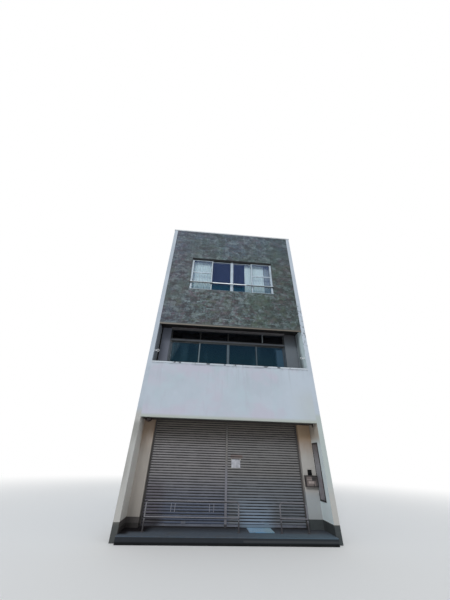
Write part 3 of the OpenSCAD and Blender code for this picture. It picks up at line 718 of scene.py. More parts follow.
def tile_places(sizes, low, high, hole_low, hole_high):
    """Where each tile lies, as (x0, x1, z0, z1): in running bond, cut at edges and window."""
    places, laid = [], 0
    for z0, z1, cut in ((low.z, hole_low.z, False), (hole_low.z, hole_high.z, True),
                        (hole_high.z, high.z, False)):
        courses = max(1, round((z1 - z0) / sizes.tile_course))
        step = (z1 - z0) / courses
        runs = ((low.x, hole_low.x), (hole_high.x, high.x)) if cut else ((low.x, high.x),)
        for course in range(courses):
            laid += 1
            for x0, x1 in runs:
                x = low.x - laid % 2 * sizes.tile_length / 2
                while x < x1 - 1e-6:
                    start, end = max(x, x0), min(x + sizes.tile_length, x1)
                    if end - start > SHORTEST_TILE:
                        places.append((start, end, z0 + course * step, z0 + (course + 1) * step))
                    x += sizes.tile_length
    return places


def tiled(name, template, places, sizes, front, rng):
    """Rough-faced copies of the unit tile at their places, in one mesh, with a tone for each."""
    unit = np.array([v.co for v in template.data.vertices])
    faces = [list(p.vertices) for p in template.data.polygons]
    face_points = unit[:, 1] < 0.5
    rim = face_points & ((abs(unit[:, 0] - 0.5) > 0.49) | (abs(unit[:, 2] - 0.5) > 0.49))
    points, shapes, tones = [], [], []
    for x0, x1, z0, z1 in places:
        co = unit.copy()
        for axis, start, end in ((0, x0, x1), (2, z0, z1)):
            extent = end - start - sizes.tile_joint
            co[:, axis] = start + sizes.tile_joint / 2 + unit[:, axis] * extent
        relief = np.array([rng.uniform(0, TILE_ROUGHNESS) for _ in range(len(unit))])
        lean = rng.uniform(-TILE_LEAN, TILE_LEAN)
        co[:, 1] = np.where(face_points, front - TILE_PROUD + relief + lean * (unit[:, 0] - 0.5),
                            front + sizes.tile_relief)
        co[rim, 1] += TILE_RIM
        shapes.extend([i + len(points) * len(unit) for i in face] for face in faces)
        points.append(co)
        patch = noise.noise(Vector((x0 * 0.5, 4.0, z0 * 0.5)))
        shade = TILE_TONE + TONE_CLOUDS * patch + rng.gauss(0, TONE_SPREAD)
        tones.extend([min(1.0, max(0.0, shade))] * len(faces))
    mesh = bpy.data.meshes.new(name)
    mesh.from_pydata(np.concatenate(points).tolist(), [], shapes)
    tone = mesh.attributes.new("tile_tone", "FLOAT", "FACE")
    tone.data.foreach_set("value", np.array(tones, np.float32))
    piece = bpy.data.objects.new(name, mesh)
    bpy.context.scene.collection.objects.link(piece)
    bpy.data.objects.remove(template)
    return piece


def tile_finish(colour):
    """Split-face ceramic: a tone for each tile, and purplish, mossy, dark and pale patches."""
    f = Finish("split_face_tile", colour, 0.62)
    own_tone = f.node("Attribute", attribute_name="tile_tone").outputs["Fac"]
    # the flecks are partly the tiles' own mottle, partly painted shade in the hollows and painted
    # highlights on the ridges of the split faces
    flecks_and_relief_shading = f.maths("SUBTRACT", f.grain(14.0, 7.0, (1, 1, 1.25)), 0.5)
    f.coat = f.ramp(f.maths("ADD", own_tone, f.times(flecks_and_relief_shading, 2.1)), (
        (0.0, [0.36 * c for c in colour]), (0.32, [0.72 * c for c in colour]), (0.52, colour),
        (0.74, (0.335, 0.405, 0.42)), (1.0, (0.46, 0.53, 0.545))))
    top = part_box("tile_facing")[1].z
    f.over((0.12, 0.185, 0.165), x=(0.3, 2.4, 0.28))
    f.over((0.32, 0.40, 0.48), f.either(f.level(f.z, top - 2.0, top - 1.0, 0.34),
                                        f.level(f.x, -1.2, -2.4, 0.2)))
    f.over((0.22, 0.255, 0.28), z=(top - 0.55, top - 0.1, 0.3))
    f.over((0.365, 0.30, 0.345), f.patches(4.5, 0.50, 0.61, 0.5, 3.0, (1, 1, 1.8)))
    f.over((0.345, 0.31, 0.35), f.patches(0.75, 0.48, 0.64, 0.36))
    f.over((0.235, 0.325, 0.275), f.patches(1.3, 0.46, 0.64, 0.55, stretch=(1, 3, 1)))
    f.over((0.29, 0.34, 0.27), f.patches(2.9, 0.52, 0.64, 0.4, 3.0, (1, 2, 1.6)))
    f.over((0.10, 0.13, 0.14), f.patches(3.8, 0.49, 0.59, 0.64, 4.0, (1, 1, 1.2)))
    f.over((0.46, 0.525, 0.54), f.patches(5.2, 0.52, 0.63, 0.52, 4.0, (1, 1, 1.2)))
    f.over((0.33, 0.43, 0.55), z=(top - 2.1, top - 0.8, 0.12))
    f.over((0.06, 0.15, 0.11), x=(1.0, 2.1, 0.24))
    f.over((0.33, 0.22, 0.36), x=(-1.0, -2.2, 0.13))
    f.over((0.13, 0.155, 0.175), f.patches(3.2, 0.52, 0.60, 0.5, 4.0, (1, 1, 2.2)),
           z=(top - 1.7, top - 1.1))
    f.give("Roughness", f.level(f.grain(40.0), 0.3, 0.7, 0.8, 0.5))
    return f.bump(f.grain(70.0, 8.0, (1, 1, 1.6)), 0.004).done()


def trim_paint(colour):
    """Chalked paint with a near-black lip as painted shade, reddish below on the left."""
    f = Finish("drip_trim_paint", colour, 0.5)
    f.over((0.28, 0.22, 0.18), f.patches(5.0, 0.5, 0.75, 0.4, 6.0))
    f.over((0.25, 0.262, 0.25), z=(FACING_Z - 0.042, FACING_Z - 0.036))
    # painted shade: the lowest edge of the trim is near-black
    f.over((0.06, 0.04, 0.04), z=(FACING_Z - 0.066, FACING_Z - 0.069))
    f.over((0.17, 0.06, 0.07), f.patches(1.4, 0.3, 0.6, 0.7), x=(-0.4, -1.0),
           z=(FACING_Z - 0.060, FACING_Z - 0.066))
    return f.bump(f.grain(60.0), 0.0006).done()


class SHOP_OT_tile_facade(bpy.types.Operator):
    """Lays the facade tiles on their mortar bed round the third floor window"""
    bl_idname = "shop.tile_facade"
    bl_label = "Tile facade"

    def execute(self, context):
        sizes, colours = context.scene.shop_house_sizes, context.scene.shop_house_colours
        low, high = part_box("tile_facing")
        hole_low, hole_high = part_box("front_window_frame")
        bed = block("tile_bed", (low.x, low.y + sizes.tile_relief - 0.001, low.z), high)
        edit_faces(bed)
        for normal in ((1, 0, 0), (0, 0, 1)):
            for corner in (hole_low, hole_high):
                bpy.ops.mesh.select_all(action="SELECT")
                bpy.ops.mesh.bisect(plane_co=corner, plane_no=normal)
        edit_faces(bed, lambda at, normal: abs(normal.y) > 0.9 and hole_low.x < at.x < hole_high.x
                   and hole_low.z < at.z < hole_high.z)
        bpy.ops.mesh.bridge_edge_loops()
        object_mode()
        mortar = masonry("tile_joint_mortar", (0.17, 0.18, 0.18), 0.1).done()
        fitted(bed, mortar, "facing_tile", "tile_facing")
        places = tile_places(sizes, low, high, hole_low, hole_high)
        tiles = tiled("facade_tiles", unit_tile(), places, sizes, low.y, random.Random(TILE_SEED))
        fitted(tiles, tile_finish(colours.tile), "facing_tile")
        painted(trim_paint(colours.trim), "drip_trim")
        return {"FINISHED"}


# Roof copings

class SHOP_OT_copings(bpy.types.Operator):
    """Adds the joint straps of the roof copings"""
    bl_idname = "shop.copings"
    bl_label = "Roof copings"

    def execute(self, context):
        finish = metal("coping_metal", (0.76, 0.78, 0.80), 0.5, 0.2).done()
        painted(finish, "side_copings", "end_copings")
        low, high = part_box("side_copings")
        count = int((high.y - low.y) / context.scene.shop_house_sizes.strap_pitch)
        step = (high.y - low.y) / (count + 1)
        x0, x1 = low.x - 0.0012, 0.012 - INNER_X + 0.0012
        strap = block("strap", (x0, low.y + step - 0.03, low.z - 0.001),
                      (x1, low.y + step + 0.03, high.z + 0.0015), 0.0008)
        others = [(across, step * i, 0) for i in range(count) for across in (0, -x0 - x1)][1:]
        fitted(joined("coping_straps", with_copies(strap, others)), finish, "coping_metal")
        return {"FINISHED"}


# Windows

def panes(node):
    """The box of each pane in a glass node, from its loose parts."""
    mesh = bmesh.new()
    mesh.from_mesh(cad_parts[node].data)
    bmesh.ops.remove_doubles(mesh, verts=mesh.verts, dist=1e-5)
    left, found = set(mesh.verts), []
    while left:
        group, edge = set(), [next(iter(left))]
        while edge:
            v = edge.pop()
            if v not in group:
                group.add(v)
                edge.extend(e.other_vert(v) for e in v.link_edges)
        left -= group
        co = np.array([v.co for v in group])
        found.append((Vector(co.min(0)), Vector(co.max(0))))
    mesh.free()
    return sorted(found, key=lambda b: tuple(round(c, 4) for c in (*b[0], *b[1])))


def gaskets(name, node, outside):
    """A thin black bead round each pane, on the outer face of the glass."""
    beads = []
    for low, high in panes(node):
        face = low.y if outside < 0 else high.y
        y0, y1 = sorted(face + outside * depth for depth in (BEAD_BACK, BEAD_FRONT))
        beads.append(ring("bead", (low.x, y0, low.z), (high.x, y1, high.z), BEAD_WIDTH))
    return joined(name, beads)


def pale_metal(colour):
    """Bright window metal; on the front window, painted shade on the head, a darker grey sill and
    painted shade below it.
    """
    f = metal("pale_window_metal", colour, 0.42, 0.3)
    sill, head = (corner.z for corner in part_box("front_window_frame"))
    outer = f.level(f.y, 0.5, 0.4)
    # painted shade: the head of the front window is near-black, in the shadow of the reveal
    f.over((0.15, 0.16, 0.17), f.within(y=(None, 1.0), z=(head - 0.062, None), soft=0.006))
    f.over((0.40, 0.46, 0.50), outer, f.within(z=(sill - 0.1, sill + 0.036)))
    # painted shade below the sill
    f.over((0.14, 0.18, 0.20), outer, f.within(z=(sill - 0.1, sill + 0.004)))
    return f.done()


def guard_bar_metal():
    """Polished metal, bright in the middle of the bar as a painted highlight, with painted shade:
    duller ends and dark below.
    """
    f = metal("guard_bar_metal", (0.96, 0.985, 1.0), 0.4, 0.1)
    low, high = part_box("window_guard_bar")
    left_end, right_end = (low.x + (high.x - low.x) * share for share in (0.27, 0.68))
    shaded_ends = f.either(f.level(f.x, left_end + 0.04, left_end - 0.04),
                     f.level(f.x, right_end - 0.04, right_end + 0.04))
    # painted shade: the ends of the bar duller, and its underside and the lower half of its ends
    # dark
    f.over((0.70, 0.74, 0.77), shaded_ends)
    f.over((0.12, 0.16, 0.19), z=(GUARD_BAR_Z - 0.0155, GUARD_BAR_Z - 0.0175))
    f.over((0.11, 0.14, 0.16), shaded_ends, z=(GUARD_BAR_Z + 0.004, GUARD_BAR_Z - 0.003))
    return f.done()


def dusty_shaded_metal(colour):
    """Weathered frames, darkened as painted shade: bluish below the transom, dark along it and
    round the upper lights.
    """
    f = metal("dusty_shaded_window_metal", colour, 0.5, 0.25)
    low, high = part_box("balcony_window_frame")
    head, below = high.z - 0.045, f.level(f.z, TRANSOM_Z - 0.1, TRANSOM_Z - 0.11)
    f.over((0.22, 0.30, 0.35), below)
    f.over((0.30, 0.38, 0.42), below, x=(-0.6, -0.8))
    f.over((0.15, 0.23, 0.27), below, 0.8, f.within((0.9, 1.05)))
    f.over((0.13, 0.20, 0.25), below, f.either(f.level(f.x, low.x + 0.135, low.x + 0.125),
                                               f.level(f.x, high.x - 0.135, high.x - 0.125)))
    f.over((0.07, 0.09, 0.10), 0.92, f.either(f.level(f.z, TRANSOM_Z - 0.036, TRANSOM_Z - 0.032),
                                              f.within(z=(TRANSOM_Z - 0.145, TRANSOM_Z - 0.065))))
    f.over((0.06, 0.06, 0.065), 0.85,
           f.within((-1.7, 1.1), z=(TRANSOM_Z + 0.012, head), soft=0.004))
    f.over((0.62, 0.66, 0.68), f.within((1.19, 1.25), z=(TRANSOM_Z + 0.01, head), soft=0.004))
    return f.done()


def balcony_glass():
    """Dark glass with clouded reflections, one slanting at the left, one upright at the right."""
    f = glass("second_floor_glass", (0.08, 0.145, 0.165), 0.84, (0.34, 0.62, 0.80))
    f.over((0.05, 0.08, 0.13), z=(TRANSOM_Z - 0.8, TRANSOM_Z - 0.2, 0.7))
    f.over((0.20, 0.29, 0.33), f.patches(1.1, 0.5, 0.72, 0.5, 3.0, (1.8, 1, 0.4)))
    slope = 0.42
    slant = f.maths("SUBTRACT", f.x, f.times(f.z, slope))
    f.over((0.34, 0.41, 0.44),
           f.level(slant, -1.60 - slope * TRANSOM_Z, -1.74 - slope * TRANSOM_Z, 0.42),
           f.patches(1.0, 0.25, 0.6, stretch=(7, 1, 0.8)))
    f.over((0.30, 0.40, 0.48), 0.5, f.within((1.67, 2.0), z=(None, TRANSOM_Z - 0.2), soft=0.04))
    f.over((0.08, 0.08, 0.09), z=(TRANSOM_Z - 0.02, TRANSOM_Z))
    return f.done()


class SHOP_OT_windows(bpy.types.Operator):
    """Finishes the window frames, sashes and glass, and adds their beads, pulls and sills"""
    bl_idname = "shop.windows"
    bl_label = "Windows"

    def execute(self, context):
        colours = context.scene.shop_house_colours
        bright = pale_metal(colours.window_metal)
        painted(bright, "front_window_frame", "front_window_sashes", "rear_windows")
        painted(guard_bar_metal(), "window_guard_bar")
        painted(dusty_shaded_metal(colours.dusty_shaded_metal), "balcony_window_frame", "balcony_window_sashes")
        upper = glass("third_floor_glass", (0.38, 0.47, 0.68), 0.12, (0.36, 0.50, 0.85))
        upper.over((0.20, 0.50, 0.62), y=(1.1, 1.0),
                   z=(GUARD_BAR_Z + 0.01, GUARD_BAR_Z - 0.05, 0.75))
        painted(upper.done(), "front_window_glass", "rear_window_glass")
        painted(balcony_glass(), "balcony_window_glass")
        rubber = Finish("glazing_rubber", (0.10, 0.10, 0.11), 0.7)
        rubber = rubber.over((0.20, 0.20, 0.20), rubber.patches(30.0, 0.4, 0.7)).done()
        for window, outside in (("front_window", -1), ("balcony_window", -1), ("rear_window", 1)):
            fitted(gaskets(f"{window}_beads", f"{window}_glass", outside), rubber, "black_plastic")

        (x0, y0, z0), (x1, _, _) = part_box("front_window_frame")
        sash_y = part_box("front_window_sashes")[0].y
        pull = finger_pull("pull", (x0 + 0.050, sash_y - 0.006, z0 + 0.62),
                           (x0 + 0.068, sash_y + 0.001, z0 + 0.74), 0.002, 0.003)
        end = block("sill_end", (x0 - 0.001, y0 - 0.004, z0 - 0.006),
                    (x0 + 0.023, y0 + 0.012, z0 + 0.05), 0.003)
        for name, piece, inset in (("front_sash_pulls", pull, 0.059),
                                   ("front_sill_ends", end, 0.011)):
            pair = with_copies(piece, [(x1 - x0 - 2 * inset, 0, 0)])
            fitted(joined(name, pair), bright, "window_metal")

        (x0, y0, _), (x1, _, z1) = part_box("balcony_window_frame")
        head = block("balcony_head_trim", (x0, y0 - 0.12, z1 - 0.042),
                     (x1, y0 + 0.004, z1 + 0.001), 0.004)
        panelled(head, lambda at, normal: normal.z < -0.9, 0.016, 0.003, 0.004)
        fitted(head, metal("head_trim_paint", (0.39, 0.38, 0.39), 0.5, 0.3).done(), "window_metal")
        return {"FINISHED"}


# Curtains

def curtain(name, low, high, pitch, seed):
    """A pleated sheet that fills its box: even pleats at the heading, looser folds at the hem."""
    rng = random.Random(seed)
    width, height, depth = high.x - low.x, high.z - low.z, high.y - low.y
    columns, rows = max(24, round(width / pitch * 10)), 22
    piece = upright_grid(name, (low.x, (low.y + high.y) / 2, low.z), high, columns, rows)
    wave = [rng.uniform(-0.5, 0.5) for _ in range(40)]
    for v in piece.data.vertices:
        turn, down = (v.co.x - low.x) / pitch, (high.z - v.co.z) / height
        k = int(turn) % 39
        drift = (wave[k] * (1 - turn % 1) + wave[k + 1] * (turn % 1)) * (0.15 + 0.85 * down)
        swing = math.sin(2 * math.pi * (turn + PLEAT_DRIFT * drift))
        loose = math.sin(2 * math.pi * (turn * 0.37 + 0.2 * down + wave[3])) * HEM_LOOSENESS * down
        y = v.co.y + depth * PLEAT_SWING * (swing * (1 - 0.18 * down) + loose)
        x = v.co.x + pitch * PLEAT_SPREAD * math.sin(4 * math.pi * turn) * (1 - 0.5 * down)
        v.co.x, v.co.y = min(high.x, max(low.x, x)), min(high.y, max(low.y, y))
    smooth(piece, 80)
    flat_width = sum(p.area for p in piece.data.polygons) / height
    return piece, (round(flat_width, 2), round(height, 2))


class SHOP_OT_curtains(bpy.types.Operator):
    """Hangs the curtains behind the windows"""
    bl_idname = "shop.curtains"
    bl_label = "Curtains"

    def execute(self, context):
        sizes, colours = context.scene.shop_house_sizes, context.scene.shop_house_colours
        green = cloth("curtain_weave", colours.curtain)
        white = cloth("white_curtain_weave", (0.62, 0.68, 0.72))
        # painted shade: the narrow curtain's cloth is painted darker than the others
        shaded_net = cloth("net_curtain_weave", (0.60, 0.66, 0.68))
        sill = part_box("front_window_frame")[0].z
        for weave, share in ((green, 0.27), (shaded_net, 0.38)):
            weave.over((0.17, 0.23, 0.27), z=(sill + 0.54, sill + 0.46, share))
        green, white, shaded_net = green.done(), white.done(), shaded_net.done()
        hung = (("third_floor_left_curtain", green, "curtain_cloth"),
                ("third_floor_right_curtain", green, "curtain_cloth"),
                ("third_floor_narrow_curtain", shaded_net, "curtain_white"),
                ("second_floor_curtain", white, "curtain_white"))
        boxes = sorted(panes("curtains"), key=lambda box: (box[0].z < 6, box[0].x))
        for seed, (box, (name, weave, slot)) in enumerate(zip(boxes, hung), FIRST_CURTAIN_SEED):
            piece, flat = curtain(name, *box, sizes.pleat_pitch, seed)
            fitted(piece, weave, slot, "curtains")
        painted(metal("curtain_rail_paint", (0.70, 0.70, 0.70), 0.4).done(), "curtain_rails")
        return {"FINISHED"}


# Roller shutters

def slat_strip(x0, x1, z0, y, pitch, depth):
    """One slat, drawn as a strip along its section: a groove, then a bulge."""
    (_, first), (rise, second) = SLAT_SECTION[:2]
    strip = upright_grid("slat", (x0, y + depth * first, z0), (x1, y, z0 + pitch * rise), 9, 1)
    edit_edges(strip, lambda a, b: min(a.z, b.z) > z0 + 1e-5)
    bpy.ops.transform.translate(value=(0, depth * (second - first), 0))
    for (a, ya), (b, yb) in zip(SLAT_SECTION[1:], SLAT_SECTION[2:]):
        extrude(0, depth * (yb - ya), pitch * (b - a))
    object_mode()
    return strip


def shutter_rows(low, high, sizes):
    """The foot of the slats, how many there are and how high each is."""
    foot = low.z + SHUTTER_BAR_HEIGHT
    count = round((high.z - foot) / sizes.slat_pitch)
    return foot, count, (high.z - foot) / count


def shutter_curtain(name, low, high, sizes, seed):
    """The slats of one shutter, from its bottom bar to behind the beam."""
    foot, count, pitch = shutter_rows(low, high, sizes)
    front = (low.y + high.y) / 2 - 0.006
    strip = slat_strip(low.x + 0.001, high.x - 0.001, foot, front, pitch, sizes.slat_depth)
    applied(strip, "ARRAY", count=count, use_relative_offset=False, use_constant_offset=True,
            constant_offset_displace=(0, 0, pitch), use_merge_vertices=True, merge_threshold=0.0002)
    for v in strip.data.vertices:
        row = int((v.co.z - foot) / pitch)
        dent = noise.noise(Vector((v.co.x * 1.7, seed, row * 0.9)))
        v.co.y += SLAT_DENTS * (dent + 0.5)
    strip.name = strip.data.name = name
    applied(strip, "SOLIDIFY", thickness=SLAT_THICKNESS, offset=0.0)
    return outward(smooth(strip, 50))


def shutter_finish(colour, foot, pitch):
    """Slat paint: dark grooves and brown below the beam as painted shade, dull runs, painted light
    between the rails, cool and rusty at the floor.
    """
    f = Finish("shutter_paint", colour, 0.5)
    f.over(colour, f.patches(1.6, 0.35, 0.7, detail=6.0, stretch=(1, 1, 0.5)), shade=0.86)
    f.over((0.55, 0.54, 0.53), f.patches(1.0, 0.5, 0.85, 0.25, stretch=(16, 1, 0.9)))
    # painted shade: brown and darker below the beam
    f.over((0.385, 0.352, 0.305), z=(1.65, 2.45, 0.75))
    f.over((0.258, 0.312, 0.408), z=(1.4, 0.3, 0.86))
    f.over((0.43, 0.43, 0.425), 0.6, f.right, z=(2.2, 1.8))
    f.over((0.405, 0.435, 0.475), 0.5, f.right, z=(1.3, 0.9))
    f.over((0.40, 0.27, 0.23), 0.45, f.within((0.09, 0.43), z=(1.585, 1.665), soft=0.012))
    # painted light: paler and bluer low down between the guard rails
    f.over((0.465, 0.515, 0.575), 0.7, f.within((0.30, 1.20), z=(None, 0.68), soft=0.16))
    f.over((0.50, 0.57, 0.65), 0.6, f.within((0.36, 1.12), z=(None, 0.42), soft=0.13))
    f.over((0.31, 0.27, 0.30), x=(-1.45, -1.85, 0.6), z=(1.2, 0.8))
    f.over((0.10, 0.085, 0.11), x=(-1.45, -1.80, 0.75), z=(0.42, 0.30))
    f.over((0.30, 0.20, 0.14), f.patches(30.0, 0.66, 0.72, detail=6.0), z=(1.1, 0.2, 0.8, 0.1))
    # painted shade: near-black in the grooves between the slats
    turn = f.maths("FRACT", f.times(f.maths("SUBTRACT", f.z, foot), 1 / pitch))
    off = f.maths("ABSOLUTE", f.maths("SUBTRACT", turn, 0.5))
    f.over((0.06, 0.06, 0.065), f.level(off, 0.24, 0.31, 0.95),
           f.level(f.grain(3.0, 4.0, (1, 1, 4)), 0.35, 0.55, 1, 0.72))
    f.give("Roughness", f.level(f.grain(12.0), 0.3, 0.7, 0.65, 0.42))
    return f.bump(f.grain(55.0, 3.0), 0.0006).done()


def bottom_bar_paint():
    """Grey paint, dark along the seal and at the left end, with painted light, bluish, behind the
    mat.
    """
    f = metal("bottom_bar_paint", (0.41, 0.43, 0.48), 0.45, 0.3, 0.4)
    f.over((0.06, 0.055, 0.06), z=(PORCH_Z + 0.016, PORCH_Z + 0.013))
    # painted light: paler and bluer between the guard rails
    f.over((0.46, 0.55, 0.62), 0.6, f.within((0.36, 1.2), soft=0.12))
    f.over((0.12, 0.10, 0.12), x=(-1.56, -1.80, 0.8))
    return f.done()


def bottom_bar(name, low, high):
    """A hollow bar with a rubber seal below it and a lock plate with a keyhole over it."""
    x0, x1, middle = low.x + 0.027, high.x - 0.027, (low.x + high.x) / 2
    bar = block("bar", (x0, low.y, low.z + 0.014), (x1, high.y, low.z + 0.058), 0.004)
    panelled(bar, lambda at, normal: abs(normal.y) > 0.9, 0.008, 0.003, 0.003)
    seal = block("seal", (x0, low.y + 0.008, low.z), (x1, high.y - 0.008, low.z + 0.018), 0.002)
    lock = block("lock", (middle - 0.055, low.y - 0.004, low.z + 0.064),
                 (middle + 0.055, low.y + 0.006, low.z + 0.106), 0.002)
    keyhole = disc("keyhole", (middle, low.y - 0.0055, low.z + 0.085), 0.010, 0.006, "Y", 20,
                   0.0015)
    return joined(name, [bar, seal, lock, keyhole])


def guide_paint():
    """Dark guides and a paler centre post, with painted shadow along the post's edges and a dark
    foot.
    """
    f = metal("guide_metal", (0.27, 0.26, 0.26), 0.45, 0.3, 0.3)
    f.over((0.43, 0.43, 0.465), f.within(CENTRE_POST_X, soft=0.003))
    post = f.within(CENTRE_POST_X, z=(1.0, None), soft=0.003)
    f.over((0.40, 0.39, 0.385), post, z=(1.1, 1.6))
    f.over((0.30, 0.285, 0.265), post, z=(2.0, 2.45, 0.9))
    # painted shadow: dark lines along the centre post's edges, high up
    f.over((0.15, 0.145, 0.145), f.either(f.within((-0.075, -0.055), soft=0.003),
                                          f.within((-0.002, 0.015), soft=0.003)), z=(1.4, 1.8, 0.8))
    return f.over((0.12, 0.12, 0.13), z=(PORCH_Z + 0.07, PORCH_Z + 0.05, 0.8)).done()


class SHOP_OT_shutters(bpy.types.Operator):
    """Builds the slats, bottom bars and handles of the roller shutters"""
    bl_idname = "shop.shutters"
    bl_label = "Roller shutters"

    def execute(self, context):
        sizes, colours = context.scene.shop_house_sizes, context.scene.shop_house_colours
        foot, _, pitch = shutter_rows(*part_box("left_shutter"), sizes)
        paint, bar_paint = shutter_finish(colours.shutter, foot, pitch), bottom_bar_paint()
        for node, seed in SHUTTER_SEEDS.items():
            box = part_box(node)
            slats = shutter_curtain(f"{node}_slats", *box, sizes, seed)
            fitted(slats, paint, "shutter_steel", node)
            fitted(bottom_bar(f"{node}_bottom_bar", *box), bar_paint, "shutter_steel")
        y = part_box("left_shutter")[0].y
        first, *others = SHUTTER_HANDLES_X
        handle = finger_pull("handle", (first - 0.007, y + 0.0015, 0.42),
                             (first + 0.007, y + 0.012, 0.585), 0.003, 0.002)
        handles = with_copies(handle, [(x - first, 0, 0) for x in others])
        handle_paint = metal("handle_paint", (0.56, 0.565, 0.61), 0.4, 0.2, 0.3).done()
        fitted(joined("left_shutter_handles", handles), handle_paint, "shutter_steel")
        painted(guide_paint(), "shutter_guides")
        return {"FINISHED"}


# Guard rails

def post_foot(x, y, radius):
    """A flange with three bolts and a collar below one post."""
    parts = [disc("flange", (x, y, PORCH_Z + 0.003), 0.042, 0.006, "Z", 32, 0.0015),
             disc("collar", (x, y, PORCH_Z + 0.012), radius + 0.004, 0.016, "Z", 32, 0.003)]
    for turn in (math.radians(90 + 120 * k) for k in range(3)):
        at = (x + 0.031 * math.cos(turn), y + 0.031 * math.sin(turn), PORCH_Z + 0.009)
        parts.append(disc("bolt", at, 0.0055, 0.006, "Z", 6, 0.0008, 1))
    return joined("post_foot", parts)


class SHOP_OT_guard_rails(bpy.types.Operator):
    """Paints the guard rails and adds the flanges below their posts"""
    bl_idname = "shop.guard_rails"
    bl_label = "Guard rails"

    def execute(self, context):
        nodes = ("left_guard_rail", "right_guard_rail")
        paint = metal("rail_paint", context.scene.shop_house_colours.rail, 0.42, 0.3, 0.4)
        low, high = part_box(nodes[0])
        radius = (high.y - low.y) / 2
        # the lower half of each rail is near-black: partly rust on the underside, partly painted
        # shade
        for z in (high.z - radius, PORCH_Z + LOWER_RAIL_HEIGHT):
            paint.over((0.05, 0.05, 0.065),
                       paint.within(z=(z - radius - 0.002, z + 0.001), soft=0.001))
        paint = paint.over((0.12, 0.10, 0.10), 0.75, z=(PORCH_Z + 0.24, PORCH_Z + 0.16)).done()
        painted(paint, *nodes)
        (x0, y0), *others = [(x, (low.y + high.y) / 2) for low, high in map(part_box, nodes)
                             for x in (low.x + radius, high.x - radius)]
        feet = with_copies(post_foot(x0, y0, radius), [(x - x0, y - y0, 0) for x, y in others])
        fitted(smooth(joined("rail_flanges", feet)), paint, "rail_paint")
        return {"FINISHED"}


# Fittings round the entrance

def letterbox():
    """A box with a raised front frame, a flap over the slot, a blank card holder and a hasp."""
    (x0, y0, z0), (x1, y1, z1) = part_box("letterbox")
    case = [
        block("letterbox_body", (x0, y0 + 0.012, z0), (x1, y1, z1), 0.004, 2),
        ring("rim", (x0 + 0.004, y0, z0 + 0.004),
             (x1 - 0.004, y0 + 0.016, z1 - 0.004), 0.018, 0.002),
        block("door", (x0 + 0.026, y0 + 0.006, z0 + 0.026),
              (x1 - 0.026, y0 + 0.014, z0 + 0.137), 0.003),
        block("hood", (x0 + 0.03, y0 - 0.004, z1 - 0.064),
              (x1 - 0.03, y0 + 0.014, z1 - 0.030), 0.004),
        disc("hinge", ((x0 + x1) / 2, y0 + 0.004, z0 + 0.03), 0.004, x1 - x0 - 0.07, "X", 12),
        block("hasp", (x0 + 0.203, y0 - 0.004, z0 + 0.014),
              (x0 + 0.227, y0 + 0.008, z0 + 0.066), 0.004)]
    flap = [
        block("flap", (x0 + 0.035, y0 + 0.002, z0 + 0.148),
              (x0 + 0.175, y0 + 0.016, z0 + 0.182), 0.003),
        ring("card_frame", (x0 + 0.070, y0 + 0.001, z0 + 0.074),
             (x0 + 0.216, y0 + 0.008, z0 + 0.128), 0.005, 0.001)]
    card = block("letterbox_card", (x0 + 0.074, y0 + 0.004, z0 + 0.078),
                 (x0 + 0.212, y0 + 0.0065, z0 + 0.124))
    return smooth(joined("letterbox_case", case), 30), joined("letterbox_flap", flap), card


def letterbox_paint(colour):
    """Brownish enamel, darker round the edge, with a dark hasp and painted shade beside the flap
    and down the right side.
    """
    f = metal("letterbox_paint", colour, 0.5, 0.4, 0.3)
    (x0, _, z0), (x1, _, z1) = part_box("letterbox")
    middle = f.within((x0 + 0.02, x1 - 0.02), z=(z0 + 0.02, z1 - 0.02))
    f.over((0.20, 0.18, 0.18), f.maths("SUBTRACT", 1.0, middle))
    # a dark hasp, and painted shade in the gap beside the flap and down the right side of the front
    f.over((0.15, 0.15, 0.16), 0.85, f.either(
        f.within((x0 + 0.17, x1 - 0.06), z=(z0 + 0.130, z1 - 0.02), soft=0.008),
        f.within((x0 + 0.20, x0 + 0.23), z=(z0 + 0.010, z0 + 0.068), soft=0.003),
        f.level(f.x, x1 - 0.09, x1 - 0.065, 0.8)))
    return f.done()


def door_phone():
    """A small black housing with a hood, a grille of slots, a lens and a button."""
    (x0, y0, z0), (x1, y1, z1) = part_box("door_phone")
    x = (x0 + x1) / 2
    parts = [block("housing", (x0 + 0.002, y0 + 0.006, z0 + 0.001),
                   (x1 - 0.002, y1, z1 - 0.001), 0.005, 3),
             block("hood", (x0, y0 - 0.004, z1 - 0.014), (x1, y1, z1), 0.003)]
    slot = block("slot", (x - 0.026, y0 + 0.003, z0 + 0.032),
                 (x + 0.026, y0 + 0.008, z0 + 0.035), 0.0008)
    parts += with_copies(slot, [(0, 0, 0.0065 * k) for k in range(1, 5)])
    parts += [disc("lens", (x, y0 + 0.004, z1 - 0.036), 0.013, 0.006, "Y", 24, 0.002),
              block("button", (x - 0.016, y0 + 0.001, z0 + 0.01),
                    (x + 0.016, y0 + 0.008, z0 + 0.024), 0.002)]
    return smooth(joined("door_phone_case", parts), 30)


def sign_paint():
    """Pale enamel, blotched, and dirty near its head and foot."""
    f = Finish("sign_panel_paint", (0.61, 0.615, 0.64), 0.45)
    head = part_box("sign_plate")[1].z
    f.over((0.55, 0.51, 0.53), f.patches(1.5, 0.4, 0.7, stretch=(1, 1, 2.0)))
    f.over((0.36, 0.32, 0.33), f.patches(9.0, 0.55, 0.75, 0.5, 6.0))
    f.over((0.33, 0.31, 0.33), f.patches(7.0, 0.42, 0.6, 0.7, 4.0), z=(1.0, 0.7))
    return f.over((0.32, 0.275, 0.27), z=(head - 0.55, head - 0.05, 0.65)).done()


def plain_paper(name, colour, roughness, shadow, cloud, grain):
    f = Finish(name, colour, roughness)
    return f.over(shadow, f.patches(*cloud)).bump(f.grain(grain), 0.0001).done()


